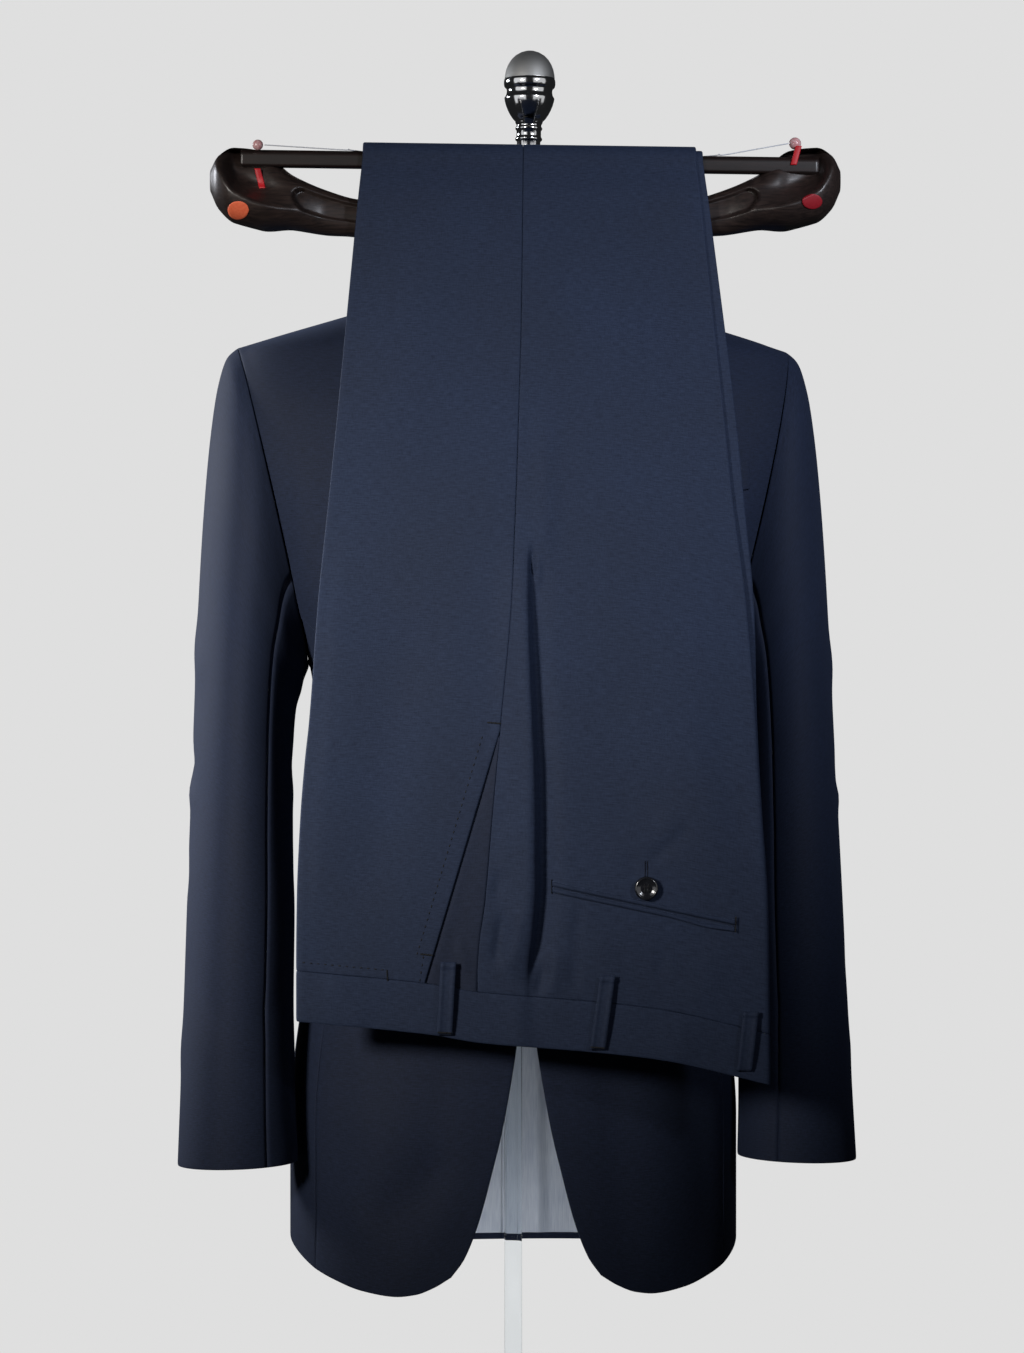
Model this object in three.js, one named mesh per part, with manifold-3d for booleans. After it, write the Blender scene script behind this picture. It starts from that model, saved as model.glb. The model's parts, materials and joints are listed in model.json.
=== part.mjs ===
// A two-piece suit as a shop shows it: the jacket sits on a limbless dress form with a turned
// metal finial, and the trousers hang folded over the bar of a wide wooden hanger, which is tied
// upside down in front of the form's neck. Every piece that a maker cuts and sews is a wall of
// its own. Millimetres, +Z up, the wearer faces -Y, the wearer's right is -X. The origin is the
// centre of the base plate's underside.

import * as THREE from "three";
import { mergeVertices } from "three/addons/utils/BufferGeometryUtils.js";
import Module from "manifold-3d";

const wasm = await Module();
wasm.setup();

// ---------------------------------------------------------------- driving sizes

const SEAM = 0.4; // gap between two pieces that are sewn edge to edge
const CLEAR = 1.2; // gap between two pieces that lie on each other

// jacket
const CLOTH = 1.8; // wool cloth with its canvas and lining
const YAW = THREE.MathUtils.degToRad(5); // the form is turned a little to its left
const SQUARE = 2.4; // squareness of the body's sections, 2 is an ellipse
const HEM_SIDE_Z = 138;
const HEM_BACK_Z = 133;
const SIDE_RISE = 18; // how much higher the side panels' hem is cut in its middle
const ARMPIT_Z = 607;
const TIP_Z = 860; // shoulder tip, where the sleeve head starts
const TIP_X = 220;
const NECK_X = 82; // where the shoulder seam meets the collar
const NECK_Z = 901;
const ARMPIT_X = 162;
const ARMHOLE_FRONT = 72; // the armhole's reach forwards and backwards
const ARMHOLE_BACK = 66;
const SIDE_SEAM_Q = 0.69; // front to side panel, as a share of the way from centre front to side
const BACK_SEAM_Q = 1.4; // side panel to back, 1 is the side and 2 the centre back
const SIDE_SEAM_TOP_Z = 645;
const BACK_SEAM_TOP_Z = 690;
const LAP = 3.4; // how far the left front stands over the right one
const LAP_REACH = 36; // how far from the centre the lapped front stands out
const LAP_LOW_Z = 330;
const LAP_HIGH_Z = 660;
const LAP_EASE = 60;
const FRONT_HEM_Z = 290; // below this the front's lower edge bends to its own line
const ROLL_LOW_Z = 562; // where the lapel's roll starts
const LAPEL_TOP_Z = 864;
const LAPEL_EDGE_TOP_Z = 790;
const GORGE_Z = 868; // where the collar ends on the lapel
const STAND_IN = 5.5; // the collar stand's foot inside the neckline
const CREST_IN = 0.5;
const CREST_OUT = 2; // how far the collar leans out up to its fold
const FALL_R = 3.2; // the collar fold's radius
const LINING_IN = 6.5; // from the back's outer face to its lining's
const WELT = { leftX: 117, rightX: 176, leftZ: 734, rightZ: 746, high: 22 };
const BUTTON_R = 10;
const BUTTON_H = 3;
const UPPER_BUTTON = { x: 0, z: 492 };
const LOWER_BUTTON = { x: -16, z: 392 };
// Rough lengths round the pieces, which turn a seam's gap into a share of the way round.
const FRONT_ARC = 235;
const SIDE_ARC = 167;
const BACK_ARC = 235;
const SLEEVE_ARC = 75;

// dress form
const FORM_BOTTOM_Z = 322;
const FORM_LEAN = THREE.MathUtils.degToRad(1);
const NECK_TOP_Z = 948;
const ROD_R = 7;
const BASE_R = 160;
const BASE_H = 12;
const FINIAL_BASE_Z = 960;
const FINIAL_TOP_Z = 1100;

// hanger
const HANGER_X = 9;
const HANGER_Y = -163;
const BAR_H = 13.5;
const BAR_D = 11;
const BAR_TOP_Z = 995.5;
const BAR_LEFT = -206;
const BAR_RIGHT = 231;
const BAR_SLOPE = -0.014;

// trousers
const WOOL = 1.0; // one layer of trouser cloth
// The outer faces of the four layers, from the bar outwards, and their share of the fullness.
const LAYERS = [
  { face: 0, full: 0 },
  { face: 2.5, full: 1 },
  { face: 3.0, full: 1.4 },
  { face: 5.5, full: 2.4 },
];
const BAND_H = 38; // waistband
const BAND_T = 2.2;
const BAND_MIDDLE_Z = 370; // about where the waistband is sewn on
const LOWEST_Z = 300;
const FAR_FULL = 0.3; // the far side's share of the fullness
const SLOPE_LOW_Z = 800; // from here up to the bar the legs take the bar's slope
const SLOPE_OVER = 190;
const FACING_X = -40; // the middle of the pocket facing's lower edge
const FACING_TOP = 14; // from the pocket's top to the facing's
const LOOP_W = 12;
const LOOP_OUT = 3;
const LOOP_T = 1.4;
const JET = { leftX: 29, leftZ: 441.8, rightX: 166, rightZ: 413, half: 4.4, slit: 0.4 };
const JET_OUT = 3.6;
const POCKET_BUTTON = { x: 99.6, z: 441, r: 9, h: 2.6 };

// ---------------------------------------------------------------- tables

// The body's sections: half width at the side, reach of the centre front and centre back.
const BODY = [
  { z: 118, side: 178, front: 120, back: 114 },
  { z: 250, side: 178, front: 120, back: 113 },
  { z: 360, side: 166, front: 118, back: 103 },
  { z: 450, side: 151, front: 116, back: 93 },
  { z: 530, side: 153, front: 122, back: 99 },
  { z: 607, side: 162, front: 130, back: 110 },
  { z: 700, side: 184, front: 129, back: 114 },
  { z: 800, side: 206, front: 110, back: 108 },
  { z: 860, side: 220, front: 80, back: 88 },
  { z: 901, side: 82, front: 54, back: 60 },
];

// The front edge, as its distance from the centre front. Minus is past it, where the fronts lap.
const FRONT_EDGE = [
  { z: 138, x: 58 },
  { z: 152, x: 48 },
  { z: 180, x: 37 },
  { z: 217, x: 27 },
  { z: 250, x: 19 },
  { z: 313, x: 8 },
  { z: 360, x: 2 },
  { z: 420, x: -8 },
  { z: 470, x: -16 },
  { z: 510, x: -16 },
  { z: 560, x: 2 },
  { z: 640, x: 24 },
  { z: 720, x: 42 },
  { z: 800, x: 57 },
  { z: 860, x: 68 },
  { z: 901, x: 74 },
];

// How far the front's hem lies below HEM_SIDE_Z, from the rounded corner to the side seam.
const FRONT_HEM = [
  { share: 0, drop: 0 },
  { share: 0.09, drop: 8 },
  { share: 0.2, drop: 14 },
  { share: 0.32, drop: 16 },
  { share: 0.55, drop: 13 },
  { share: 0.8, drop: 6 },
  { share: 1, drop: 0 },
];

// The sleeve's sections: the outer and the inner point, how far forwards and backwards it
// reaches, and where those two points lie between.
const SLEEVE = [
  { ox: 220, oz: 860, ix: 162.8, iz: 607, front: -72, back: 66, mid: 0 },
  { ox: 228, oz: 852, ix: 164.6, iz: 603, front: -75, back: 69, mid: 0 },
  { ox: 235, oz: 830, ix: 167, iz: 597, front: -78, back: 73, mid: -1 },
  { ox: 241, oz: 790, ix: 169, iz: 588, front: -80, back: 76, mid: -2 },
  { ox: 246, oz: 735, ix: 173, iz: 574, front: -81, back: 76, mid: -3 },
  { ox: 250, oz: 670, ix: 175, iz: 552, front: -82, back: 72, mid: -5 },
  { ox: 253, oz: 600, ix: 176, iz: 520, front: -84, back: 64, mid: -10 },
  { ox: 256, oz: 520, ix: 176, iz: 474, front: -87, back: 52, mid: -18 },
  { ox: 259, oz: 440, ix: 175, iz: 416, front: -91, back: 38, mid: -27 },
  { ox: 262, oz: 350, ix: 176, iz: 340, front: -95, back: 22, mid: -37 },
  { ox: 265, oz: 270, ix: 175, iz: 270, front: -98, back: 6, mid: -46 },
  { ox: 267, oz: 219, ix: 173, iz: 222, front: -100, back: -6, mid: -53 },
];
const SLEEVE_FRONT_SEAM = THREE.MathUtils.degToRad(118); // round the sleeve from its outer point
const SLEEVE_BACK_SEAM = THREE.MathUtils.degToRad(-110);

// The collar from the centre back round to the gorge: where it is on the neckline (0 is the
// centre back, 1 the shoulder seam, 2 the gorge), how high it rises, and where its fall ends.
const COLLAR = [
  { at: 0, rise: 34, x: 0, z: 866 },
  { at: 0.5, rise: 33, x: 52, z: 870 },
  { at: 0.8, rise: 30, x: 88, z: 886 },
  { at: 0.9, rise: 28.5, x: 97, z: 892 },
  { at: 1, rise: 27, x: 104, z: 894.4 },
  { at: 1.15, rise: 25, x: 110, z: 887 },
  { at: 1.35, rise: 21, x: 112, z: 868 },
  { at: 1.65, rise: 14, x: 108, z: 846 },
  { at: 2, rise: 6, x: 97, z: 828 },
];

// The lapel's outer edge, measured from the centre front.
const LAPEL = [
  { z: 562, x: 8 },
  { z: 590, x: 44 },
  { z: 640, x: 70 },
  { z: 720, x: 100 },
  { z: 790, x: 118 },
];
// The hanging trousers: both creases, the side seam and the inseam.
const LEG = [
  { z: 300, left: -163, right: 193, seam: -26, inseam: 0 },
  { z: 383, left: -163, right: 192, seam: -27, inseam: 0 },
  { z: 432, left: -162.5, right: 191, seam: -21, inseam: 0 },
  { z: 492, left: -160, right: 187, seam: -16, inseam: 2 },
  { z: 537, left: -156.5, right: 184, seam: -12, inseam: 6 },
  { z: 565, left: -153.5, right: 182.5, seam: -9.5, inseam: 8 },
  { z: 657, left: -146.7, right: 175, seam: -1.5, inseam: 12 },
  { z: 733, left: -138.8, right: 165, seam: 2, inseam: 12 },
  { z: 795, left: -132.5, right: 158.6, seam: 4, inseam: 12 },
  { z: 870, left: -125.2, right: 150.4, seam: 6, inseam: 12 },
  { z: 996, left: -113, right: 137.3, seam: 7.5, inseam: 12 },
];
// Below the bar on the far side, down to the leg's hem.
const LEG_FAR = [
  { z: 606, left: -93, right: 113, seam: 10, inseam: 12 },
  { z: 760, left: -97, right: 118, seam: 9, inseam: 12 },
  { z: 996, left: -113, right: 137.3, seam: 7.5, inseam: 12 },
];
const LEG_FAR_HEM_Z = 606;
// How far the folded-in part reaches from each crease above the crotch.
const RISE = [
  { z: 300, front: 90, back: 6 },
  { z: 383, front: 93, back: 6 },
  { z: 432, front: 100, back: 8 },
  { z: 492, front: 118, back: 24 },
  { z: 537, front: 140, back: 96 },
  { z: 565, front: 161, back: 174 },
];
// How far the left leg, which hangs behind, stands out to the side.
const LEFT_SHIFT = [
  { z: 300, x: 0 },
  { z: 560, x: 1 },
  { z: 657, x: 6 },
  { z: 760, x: 9 },
  { z: 996, x: 5 },
];
// The seam between the trousers and the waistband, across the width.
const WAIST_SEAM = [
  { x: -163, z: 379 },
  { x: -62, z: 369 },
  { x: -26, z: 363 },
  { x: 58, z: 356 },
  { x: 110, z: 350 },
  { x: 193, z: 331 },
];
// The opening of the slanting side pocket.
const POCKET_TOP = { x: -10.6, z: 557.5 };
const POCKET_BOTTOM = { x: -61, z: 388 };
// The deep soft fold beside the side seam: its line, its depth, and the roll beside it.
const FOLD = [
  { z: 330, x: 10, depth: 0.3, roll: 0.3 },
  { z: 368, x: 11, depth: 1, roll: 1.5 },
  { z: 384, x: 12.5, depth: 3, roll: 5 },
  { z: 404, x: 15.5, depth: 5, roll: 8 },
  { z: 447, x: 18.5, depth: 6, roll: 9.5 },
  { z: 520, x: 18, depth: 5, roll: 9.5 },
  { z: 560, x: 16, depth: 3.5, roll: 9 },
  { z: 600, x: 14.5, depth: 3, roll: 8 },
  { z: 669, x: 12.5, depth: 2, roll: 5 },
  { z: 704, x: 12.5, depth: 0, roll: 0 },
];
const VALLEY_OFF = 4;
const VALLEY_HALF = 9;
const ROLL_OFF = -9;
const ROLL_HALF = 12;
// How far each side of the hanging stack stands away from the bar, and the fullness inside.
const HANG = [
  { z: 300, near: 2, far: 2, full: 5 },
  { z: 400, near: 3, far: 2, full: 5 },
  { z: 500, near: 4, far: 2, full: 4 },
  { z: 620, near: 5, far: 2, full: 2 },
  { z: 760, near: 6, far: 4, full: 0.6 },
  { z: 900, near: 9, far: 9, full: 0 },
  { z: 955, near: 8, far: 8, full: 0 },
  { z: 986, near: 0, far: 0, full: 0 },
];

// The hanger's arms from the middle out: centre height, and size in Y and Z.
const ARM = [
  { x: 6, z: 930, deep: 21, high: 36 },
  { x: 60, z: 937, deep: 20, high: 31 },
  { x: 118, z: 946, deep: 22, high: 29 },
  { x: 140, z: 950, deep: 25, high: 34 },
  { x: 165, z: 957.5, deep: 46, high: 41 },
  { x: 190, z: 967, deep: 60, high: 60 },
  { x: 210, z: 971, deep: 54, high: 57 },
  { x: 222, z: 973, deep: 38, high: 40 },
  { x: 228, z: 974, deep: 14, high: 16 },
];
const THREAD_R = 0.45;
const THREAD_OFF = 2.4; // the threads' middle off the bar
const KNOT = { x: 13, half: 10.5, y: -6, z: 1004 }; // where they end, beside the finial's neck
const TIE_W = 5;
const TIE_T = 1.2;
const TIE_OUT = 3;
// The turned finial on the form's neck.
const FINIAL = [
  { z: 960, r: 0 },
  { z: 960, r: 27 },
  { z: 964, r: 27.4 },
  { z: 969, r: 18 },
  { z: 974, r: 13.5 },
  { z: 982, r: 11 },
  { z: 1008, r: 9 },
  { z: 1027, r: 9.4 },
  { z: 1029.2, r: 10.8 },
  { z: 1031, r: 9.8 },
  { z: 1036, r: 9.8 },
  { z: 1037.6, r: 10.8 },
  { z: 1039.4, r: 9.9 },
  { z: 1042.4, r: 10.9 },
  { z: 1045.4, r: 13 },
  { z: 1048.6, r: 15.2 },
  { z: 1052.4, r: 17.2 },
  { z: 1056.4, r: 18.8 },
  { z: 1061.6, r: 20 },
  { z: 1063, r: 19.2 },
  { z: 1067.4, r: 18.2 },
  { z: 1070, r: 19 },
  { z: 1073.4, r: 20.6 },
  { z: 1075.2, r: 20.6 },
  { z: 1077.2, r: 19.9 },
  { z: 1081, r: 19.7 },
  { z: 1085, r: 18.8 },
  { z: 1089, r: 17.2 },
  { z: 1092.8, r: 14.8 },
  { z: 1096, r: 11.6 },
  { z: 1098.4, r: 7.6 },
  { z: 1099.7, r: 3.6 },
  { z: 1100, r: 0 },
];
// The dress form's sections.
const TORSO = [
  { z: 322, side: 132, front: 88, back: 76 },
  { z: 328, side: 142, front: 98, back: 84 },
  { z: 360, side: 146, front: 100, back: 86 },
  { z: 450, side: 136, front: 98, back: 78 },
  { z: 530, side: 139, front: 105, back: 84 },
  { z: 607, side: 148, front: 114, back: 94 },
  { z: 700, side: 166, front: 112, back: 98 },
  { z: 780, side: 184, front: 98, back: 92 },
  { z: 830, side: 192, front: 80, back: 80 },
  { z: 850, side: 180, front: 68, back: 72 },
  { z: 863, side: 152, front: 60, back: 64 },
  { z: 876, side: 118, front: 52, back: 57 },
  { z: 888, side: 84, front: 46, back: 50 },
  { z: 898, side: 66, front: 42, back: 46 },
  { z: 912, side: 58, front: 40, back: 43 },
  { z: 948, side: 54, front: 38, back: 40 },
];

// ---------------------------------------------------------------- small maths

const clamp01 = (t) => Math.min(1, Math.max(0, t));
const lerp = (a, b, t) => a + (b - a) * t;
const smooth = (t) => clamp01(t) ** 2 * (3 - 2 * clamp01(t));
const bell = (d, half) => Math.exp(-((d / half) ** 2));
const vec = (x, y, z) => new THREE.Vector3(x, y, z);
const steps = (a, b, n) => Array.from({ length: n + 1 }, (_, i) => lerp(a, b, i / n));

// A column of a table at a place on its key column, by a monotone cubic through the rows.
function look(table, key, column, at) {
  const x = table.map((row) => row[key]);
  const y = table.map((row) => row[column]);
  const last = x.length - 1;
  if (at <= x[0]) return y[0];
  if (at >= x[last]) return y[last];
  let i = 0;
  while (at > x[i + 1]) i++;
  const slope = (k) => (y[k + 1] - y[k]) / (x[k + 1] - x[k]);
  const tangent = (k) => {
    if (k === 0) return slope(0);
    if (k === last) return slope(last - 1);
    const [a, b] = [slope(k - 1), slope(k)];
    return a * b <= 0 ? 0 : (2 * a * b) / (a + b);
  };
  const h = x[i + 1] - x[i];
  const t = (at - x[i]) / h;
  return (
    y[i] * (1 + 2 * t) * (1 - t) ** 2 +
    tangent(i) * h * t * (1 - t) ** 2 +
    y[i + 1] * t * t * (3 - 2 * t) +
    tangent(i + 1) * h * t * t * (t - 1)
  );
}

// ---------------------------------------------------------------- making solids

// A closed geometry from points and triangles, turned so that its faces point out.
function closed(points, triangles) {
  let volume = 0;
  for (const [a, b, c] of triangles)
    volume += points[a].dot(vec(0, 0, 0).crossVectors(points[b], points[c]));
  const index = triangles.flatMap(([a, b, c]) => (volume < 0 ? [a, c, b] : [a, b, c]));
  const geometry = new THREE.BufferGeometry().setFromPoints(points);
  geometry.setIndex(index);
  geometry.computeVertexNormals();
  return geometry;
}

// A wall of cloth over a grid of places u, v: at(u, v) is on the outer face, and the wall's
// thickness goes inwards. flip says which way the outer face looks.
function wall(at, us, vs, thickness, flip = 1) {
  const outer = [];
  const inner = [];
  const reach = 1e-3;
  const step = (list, i, sign) => {
    const span = list[list.length - 1] - list[0];
    const end = sign > 0 ? list.length - 1 : 0;
    return i === end ? list[i] : list[i] + sign * reach * span;
  };
  us.forEach((u, i) =>
    vs.forEach((v, j) => {
      const along = at(step(us, i, 1), v).sub(at(step(us, i, -1), v));
      const up = at(u, step(vs, j, 1)).sub(at(u, step(vs, j, -1)));
      const normal = along.cross(up).normalize().multiplyScalar(flip);
      const point = at(u, v);
      outer.push(point);
      inner.push(point.clone().addScaledVector(normal, -thickness));
    }),
  );
  const [m, n] = [us.length, vs.length];
  const id = (i, j) => i * n + j;
  const under = m * n;
  const triangles = [];
  const quad = (a, b, c, d) => triangles.push([a, b, c], [a, c, d]);
  for (let i = 0; i + 1 < m; i++)
    for (let j = 0; j + 1 < n; j++) {
      quad(id(i, j), id(i + 1, j), id(i + 1, j + 1), id(i, j + 1));
      quad(
        under + id(i, j + 1),
        under + id(i + 1, j + 1),
        under + id(i + 1, j),
        under + id(i, j),
      );
    }
  for (let i = 0; i + 1 < m; i++) {
    quad(id(i + 1, 0), id(i, 0), under + id(i, 0), under + id(i + 1, 0));
    quad(id(i, n - 1), id(i + 1, n - 1), under + id(i + 1, n - 1), under + id(i, n - 1));
  }
  for (let j = 0; j + 1 < n; j++) {
    quad(id(0, j), id(0, j + 1), under + id(0, j + 1), under + id(0, j));
    quad(id(m - 1, j + 1), id(m - 1, j), under + id(m - 1, j), under + id(m - 1, j + 1));
  }
  return closed([...outer, ...inner], triangles);
}

// A solid through closed rings of equally many points, with flat ends.
function loft(rings) {
  const n = rings[0].length;
  const points = rings.flat();
  const triangles = [];
  for (let r = 0; r + 1 < rings.length; r++)
    for (let k = 0; k < n; k++) {
      const [a, b] = [r * n + k, r * n + ((k + 1) % n)];
      triangles.push([a, b, b + n], [a, b + n, a + n]);
    }
  for (const [first, turned] of [
    [0, true],
    [(rings.length - 1) * n, false],
  ]) {
    const centre = new THREE.Vector3();
    for (let k = 0; k < n; k++) centre.add(points[first + k]);
    points.push(centre.divideScalar(n));
    const hub = points.length - 1;
    for (let k = 0; k < n; k++) {
      const [a, b] = [first + k, first + ((k + 1) % n)];
      triangles.push(turned ? [hub, b, a] : [hub, a, b]);
    }
  }
  return closed(points, triangles);
}

// A turned piece about the Z axis from a table of radii and heights, closed on the axis.
function turned(profile, segments) {
  const points = profile.map(({ r, z }) => new THREE.Vector2(Math.max(r, 0), z));
  return new THREE.LatheGeometry(points, segments).rotateX(Math.PI / 2);
}

// A round bar, cord or wire along points, as an extruded section.
function tube(points, radius, sides, pieces) {
  const section = new THREE.Shape();
  for (let k = 0; k < sides; k++) {
    const angle = (2 * Math.PI * k) / sides;
    const place = [radius * Math.cos(angle), radius * Math.sin(angle)];
    if (k === 0) section.moveTo(...place);
    else section.lineTo(...place);
  }
  const path = new THREE.CatmullRomCurve3(points, false, "centripetal");
  return new THREE.ExtrudeGeometry(section, { extrudePath: path, steps: pieces });
}

// Boolean cuts are made with manifold-3d on merged meshes.
function solidOf(geometry) {
  const bare = geometry.clone();
  bare.deleteAttribute("normal");
  bare.deleteAttribute("uv");
  const merged = mergeVertices(bare, 1e-3);
  return new wasm.Manifold(
    new wasm.Mesh({
      numProp: 3,
      vertProperties: merged.attributes.position.array,
      triVerts: new Uint32Array(merged.index.array),
    }),
  );
}

function geometryOf(solid) {
  const mesh = solid.getMesh();
  const points = [];
  for (let k = 0; k < mesh.numVert; k++)
    points.push(vec(...mesh.vertProperties.subarray(k * mesh.numProp, k * mesh.numProp + 3)));
  const triangles = [];
  for (let k = 0; k < mesh.numTri; k++) triangles.push([...mesh.triVerts.subarray(3 * k, 3 * k + 3)]);
  return closed(points, triangles);
}

// ---------------------------------------------------------------- materials

const finish = (color, roughness, metalness = 0) =>
  new THREE.MeshStandardMaterial({ color, roughness, metalness });
const JACKET_WOOL = finish(0x1c2233, 0.85);
const TROUSER_WOOL = finish(0x262c3d, 0.85);
const LINING = finish(0x7d889a, 0.45);
const HORN = finish(0x0c0d10, 0.2);
const DARK_WOOD = finish(0x1d1614, 0.45);
const BAR_WOOD = finish(0x2a1613, 0.4);
const SILVER = finish(0xc4c4c4, 0.2, 1);
const STEEL = finish(0xb4b4b4, 0.3, 1);
const FORM_CLOTH = finish(0xd8d2c6, 0.9);
const ACRYLIC = finish(0xeef2f4, 0.08);
const RED_RUBBER = finish(0xb3161d, 0.5);
const ORANGE_DISC = finish(0xf2593a, 0.5);
const RED_DISC = finish(0x9c1620, 0.5);
const THREAD = finish(0xdfe2e8, 0.4);
const CORD = finish(0x16171c, 0.8);

const suit = new THREE.Group();
const jacket = new THREE.Group();
jacket.rotation.z = YAW;
suit.add(jacket);
const form = new THREE.Group();
form.position.z = FORM_BOTTOM_Z;
form.rotation.set(0, FORM_LEAN, 0);
suit.add(form);

function add(group, name, geometry, material) {
  const mesh = new THREE.Mesh(geometry, material);
  mesh.name = name;
  group.add(mesh);
  return mesh;
}

// ---------------------------------------------------------------- the jacket's body

const power = 2 / SQUARE;
const shaped = (value) => Math.sign(value) * Math.abs(value) ** power;

// The armhole's edge at a height: its distance from the centre, and its reach in Y.
function armhole(z, back) {
  const reach = back ? ARMHOLE_BACK : ARMHOLE_FRONT;
  if (z <= ARMPIT_Z) return { x: look(BODY, "z", "side", z), y: 0 };
  if (z >= TIP_Z) {
    const share = (z - TIP_Z) / (NECK_Z - TIP_Z);
    return { x: lerp(TIP_X, NECK_X, share), y: 0 };
  }
  const half = (TIP_Z - ARMPIT_Z) / 2;
  const height = (z - ARMPIT_Z - half) / half;
  const x = lerp(ARMPIT_X, TIP_X, (z - ARMPIT_Z) / (TIP_Z - ARMPIT_Z));
  return { x, y: reach * Math.sqrt(Math.max(0, 1 - height * height)) };
}

// The section at a height on one half: its reach, and the angle at which it ends.
function section(z, back) {
  const reach = look(BODY, "z", back ? "back" : "front", z);
  const share = Math.min(1, armhole(z, back).y / reach);
  return { reach, end: Math.acos(share ** (SQUARE / 2)) };
}

// A point of the jacket's outer face. q is 0 at the centre front, 1 at the side or the armhole,
// and 2 at the centre back. side is 1 for the wearer's left and -1 for the right.
function bodyPoint(side, q, z) {
  const back = q > 1;
  const { reach, end } = section(z, back);
  const angle = (back ? 2 - q : q) * end;
  const width = armhole(z, back).x / shaped(Math.sin(end));
  return vec(
    side * width * shaped(Math.sin(angle)),
    (back ? 1 : -1) * reach * shaped(Math.cos(angle)),
    z,
  );
}

// The place q where the section at a height is x away from the centre.
function placeOf(x, z, back) {
  const { end } = section(z, back);
  const width = armhole(z, back).x / shaped(Math.sin(end));
  const share = Math.sign(x) * Math.min(1, Math.abs(x / width)) ** (1 / power);
  const q = Math.asin(share) / end;
  return back ? 2 - q : q;
}

// The left front laps over the right one where the fronts cross.
function frontFace(side, q, z) {
  const point = bodyPoint(side, q, z);
  const near = smooth((LAP_REACH - point.x * side) / LAP_REACH);
  const height = smooth((LAP_HIGH_Z - z) / LAP_EASE) * smooth((z - LAP_LOW_Z) / LAP_EASE);
  if (side > 0) point.y -= LAP * near * height;
  return point;
}

// A point moved out from the jacket's face at x, z.
function offBody(side, x, z, back, out) {
  const face = (dx, dz) => frontFace(side, placeOf(x + dx, z + dz, back), z + dz);
  const d = 0.5;
  const along = face(d, 0).sub(face(-d, 0));
  const up = face(0, d).sub(face(0, -d));
  const normal = along.cross(up).normalize();
  if (normal.y > 0 !== back) normal.negate();
  return face(0, 0).addScaledVector(normal, out);
}

// Above the armpit the two seams of the side panel turn into the armhole.
const TURN = 1.5;
const seamAt = (z, low, topZ) => lerp(low, 1, clamp01((z - ARMPIT_Z) / (topZ - ARMPIT_Z)) ** TURN);

const SEAM_ROWS = 9;
const SHOULDER_ROWS = [740, 790, 827, 846, 855, 858.8, 860, 868, 880, 891, 900];
const frontRows = steps(HEM_SIDE_Z, SIDE_SEAM_TOP_Z, SEAM_ROWS).concat([690], SHOULDER_ROWS);
const backRows = steps(HEM_BACK_Z, BACK_SEAM_TOP_Z, SEAM_ROWS).concat(SHOULDER_ROWS);

function frontPanel(side) {
  const at = (share, z) => {
    const start = placeOf(look(FRONT_EDGE, "z", "x", z), z, false);
    const end = seamAt(z, SIDE_SEAM_Q, SIDE_SEAM_TOP_Z) - SEAM / 2 / FRONT_ARC;
    const point = frontFace(side, lerp(start, end, share), z);
    const dip = smooth((FRONT_HEM_Z - z) / (FRONT_HEM_Z - HEM_SIDE_Z));
    point.z -= look(FRONT_HEM, "share", "drop", share) * dip;
    return point;
  };
  return wall(at, [0, 0.08, 0.2, 0.36, 0.52, 0.68, 0.82, 0.93, 1], frontRows, CLOTH, side);
}

// The side panel reaches from seam to seam, and its top follows the armhole.
function sidePanel(side) {
  const middle = (1 - SIDE_SEAM_Q) / (BACK_SEAM_Q - SIDE_SEAM_Q);
  const at = (c, v) => {
    const gap = SEAM / 2 / SIDE_ARC;
    const place = lerp(gap, 1 - gap, c);
    const front = place < middle;
    const share = front ? 1 - place / middle : (place - middle) / (1 - middle);
    const low = front ? SIDE_SEAM_Q : BACK_SEAM_Q;
    const topZ = front ? SIDE_SEAM_TOP_Z : BACK_SEAM_TOP_Z;
    const ownTop = lerp(ARMPIT_Z, topZ, share ** (1 / TURN)) - 3 * SEAM * (1 - share);
    const ownHem = lerp(HEM_SIDE_Z, HEM_BACK_Z, place) + SIDE_RISE * Math.sin(Math.PI * place);
    const z = lerp(ownHem, ownTop, v);
    const moved = seamAt(z, low, topZ) - low;
    return bodyPoint(side, lerp(SIDE_SEAM_Q, BACK_SEAM_Q, place) + moved, z);
  };
  return wall(at, [0, 0.14, 0.28, middle, 0.6, 0.8, 1], steps(0, 1, SEAM_ROWS), CLOTH, side);
}

function backPanel(side) {
  const at = (share, z) => {
    const start = seamAt(z, BACK_SEAM_Q, BACK_SEAM_TOP_Z) + SEAM / 2 / BACK_ARC;
    return bodyPoint(side, lerp(start, placeOf(SEAM / 2, z, true), share), z);
  };
  return wall(at, [0, 0.1, 0.25, 0.42, 0.6, 0.78, 0.9, 1], backRows, CLOTH, side);
}

// The back's lining, which shows between the front edges.
function backLining(side) {
  const at = (share, z) => {
    const end = placeOf(SEAM / 2, z, true);
    const point = bodyPoint(side, lerp(BACK_SEAM_Q + 0.02, end, share), z);
    const inwards = 1 - LINING_IN / Math.hypot(point.x, point.y);
    return vec(point.x * inwards + side * 0.2, point.y * inwards, z);
  };
  return wall(at, steps(0, 1, 6), steps(HEM_BACK_Z + 10, 470, 8), 1, side);
}

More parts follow.
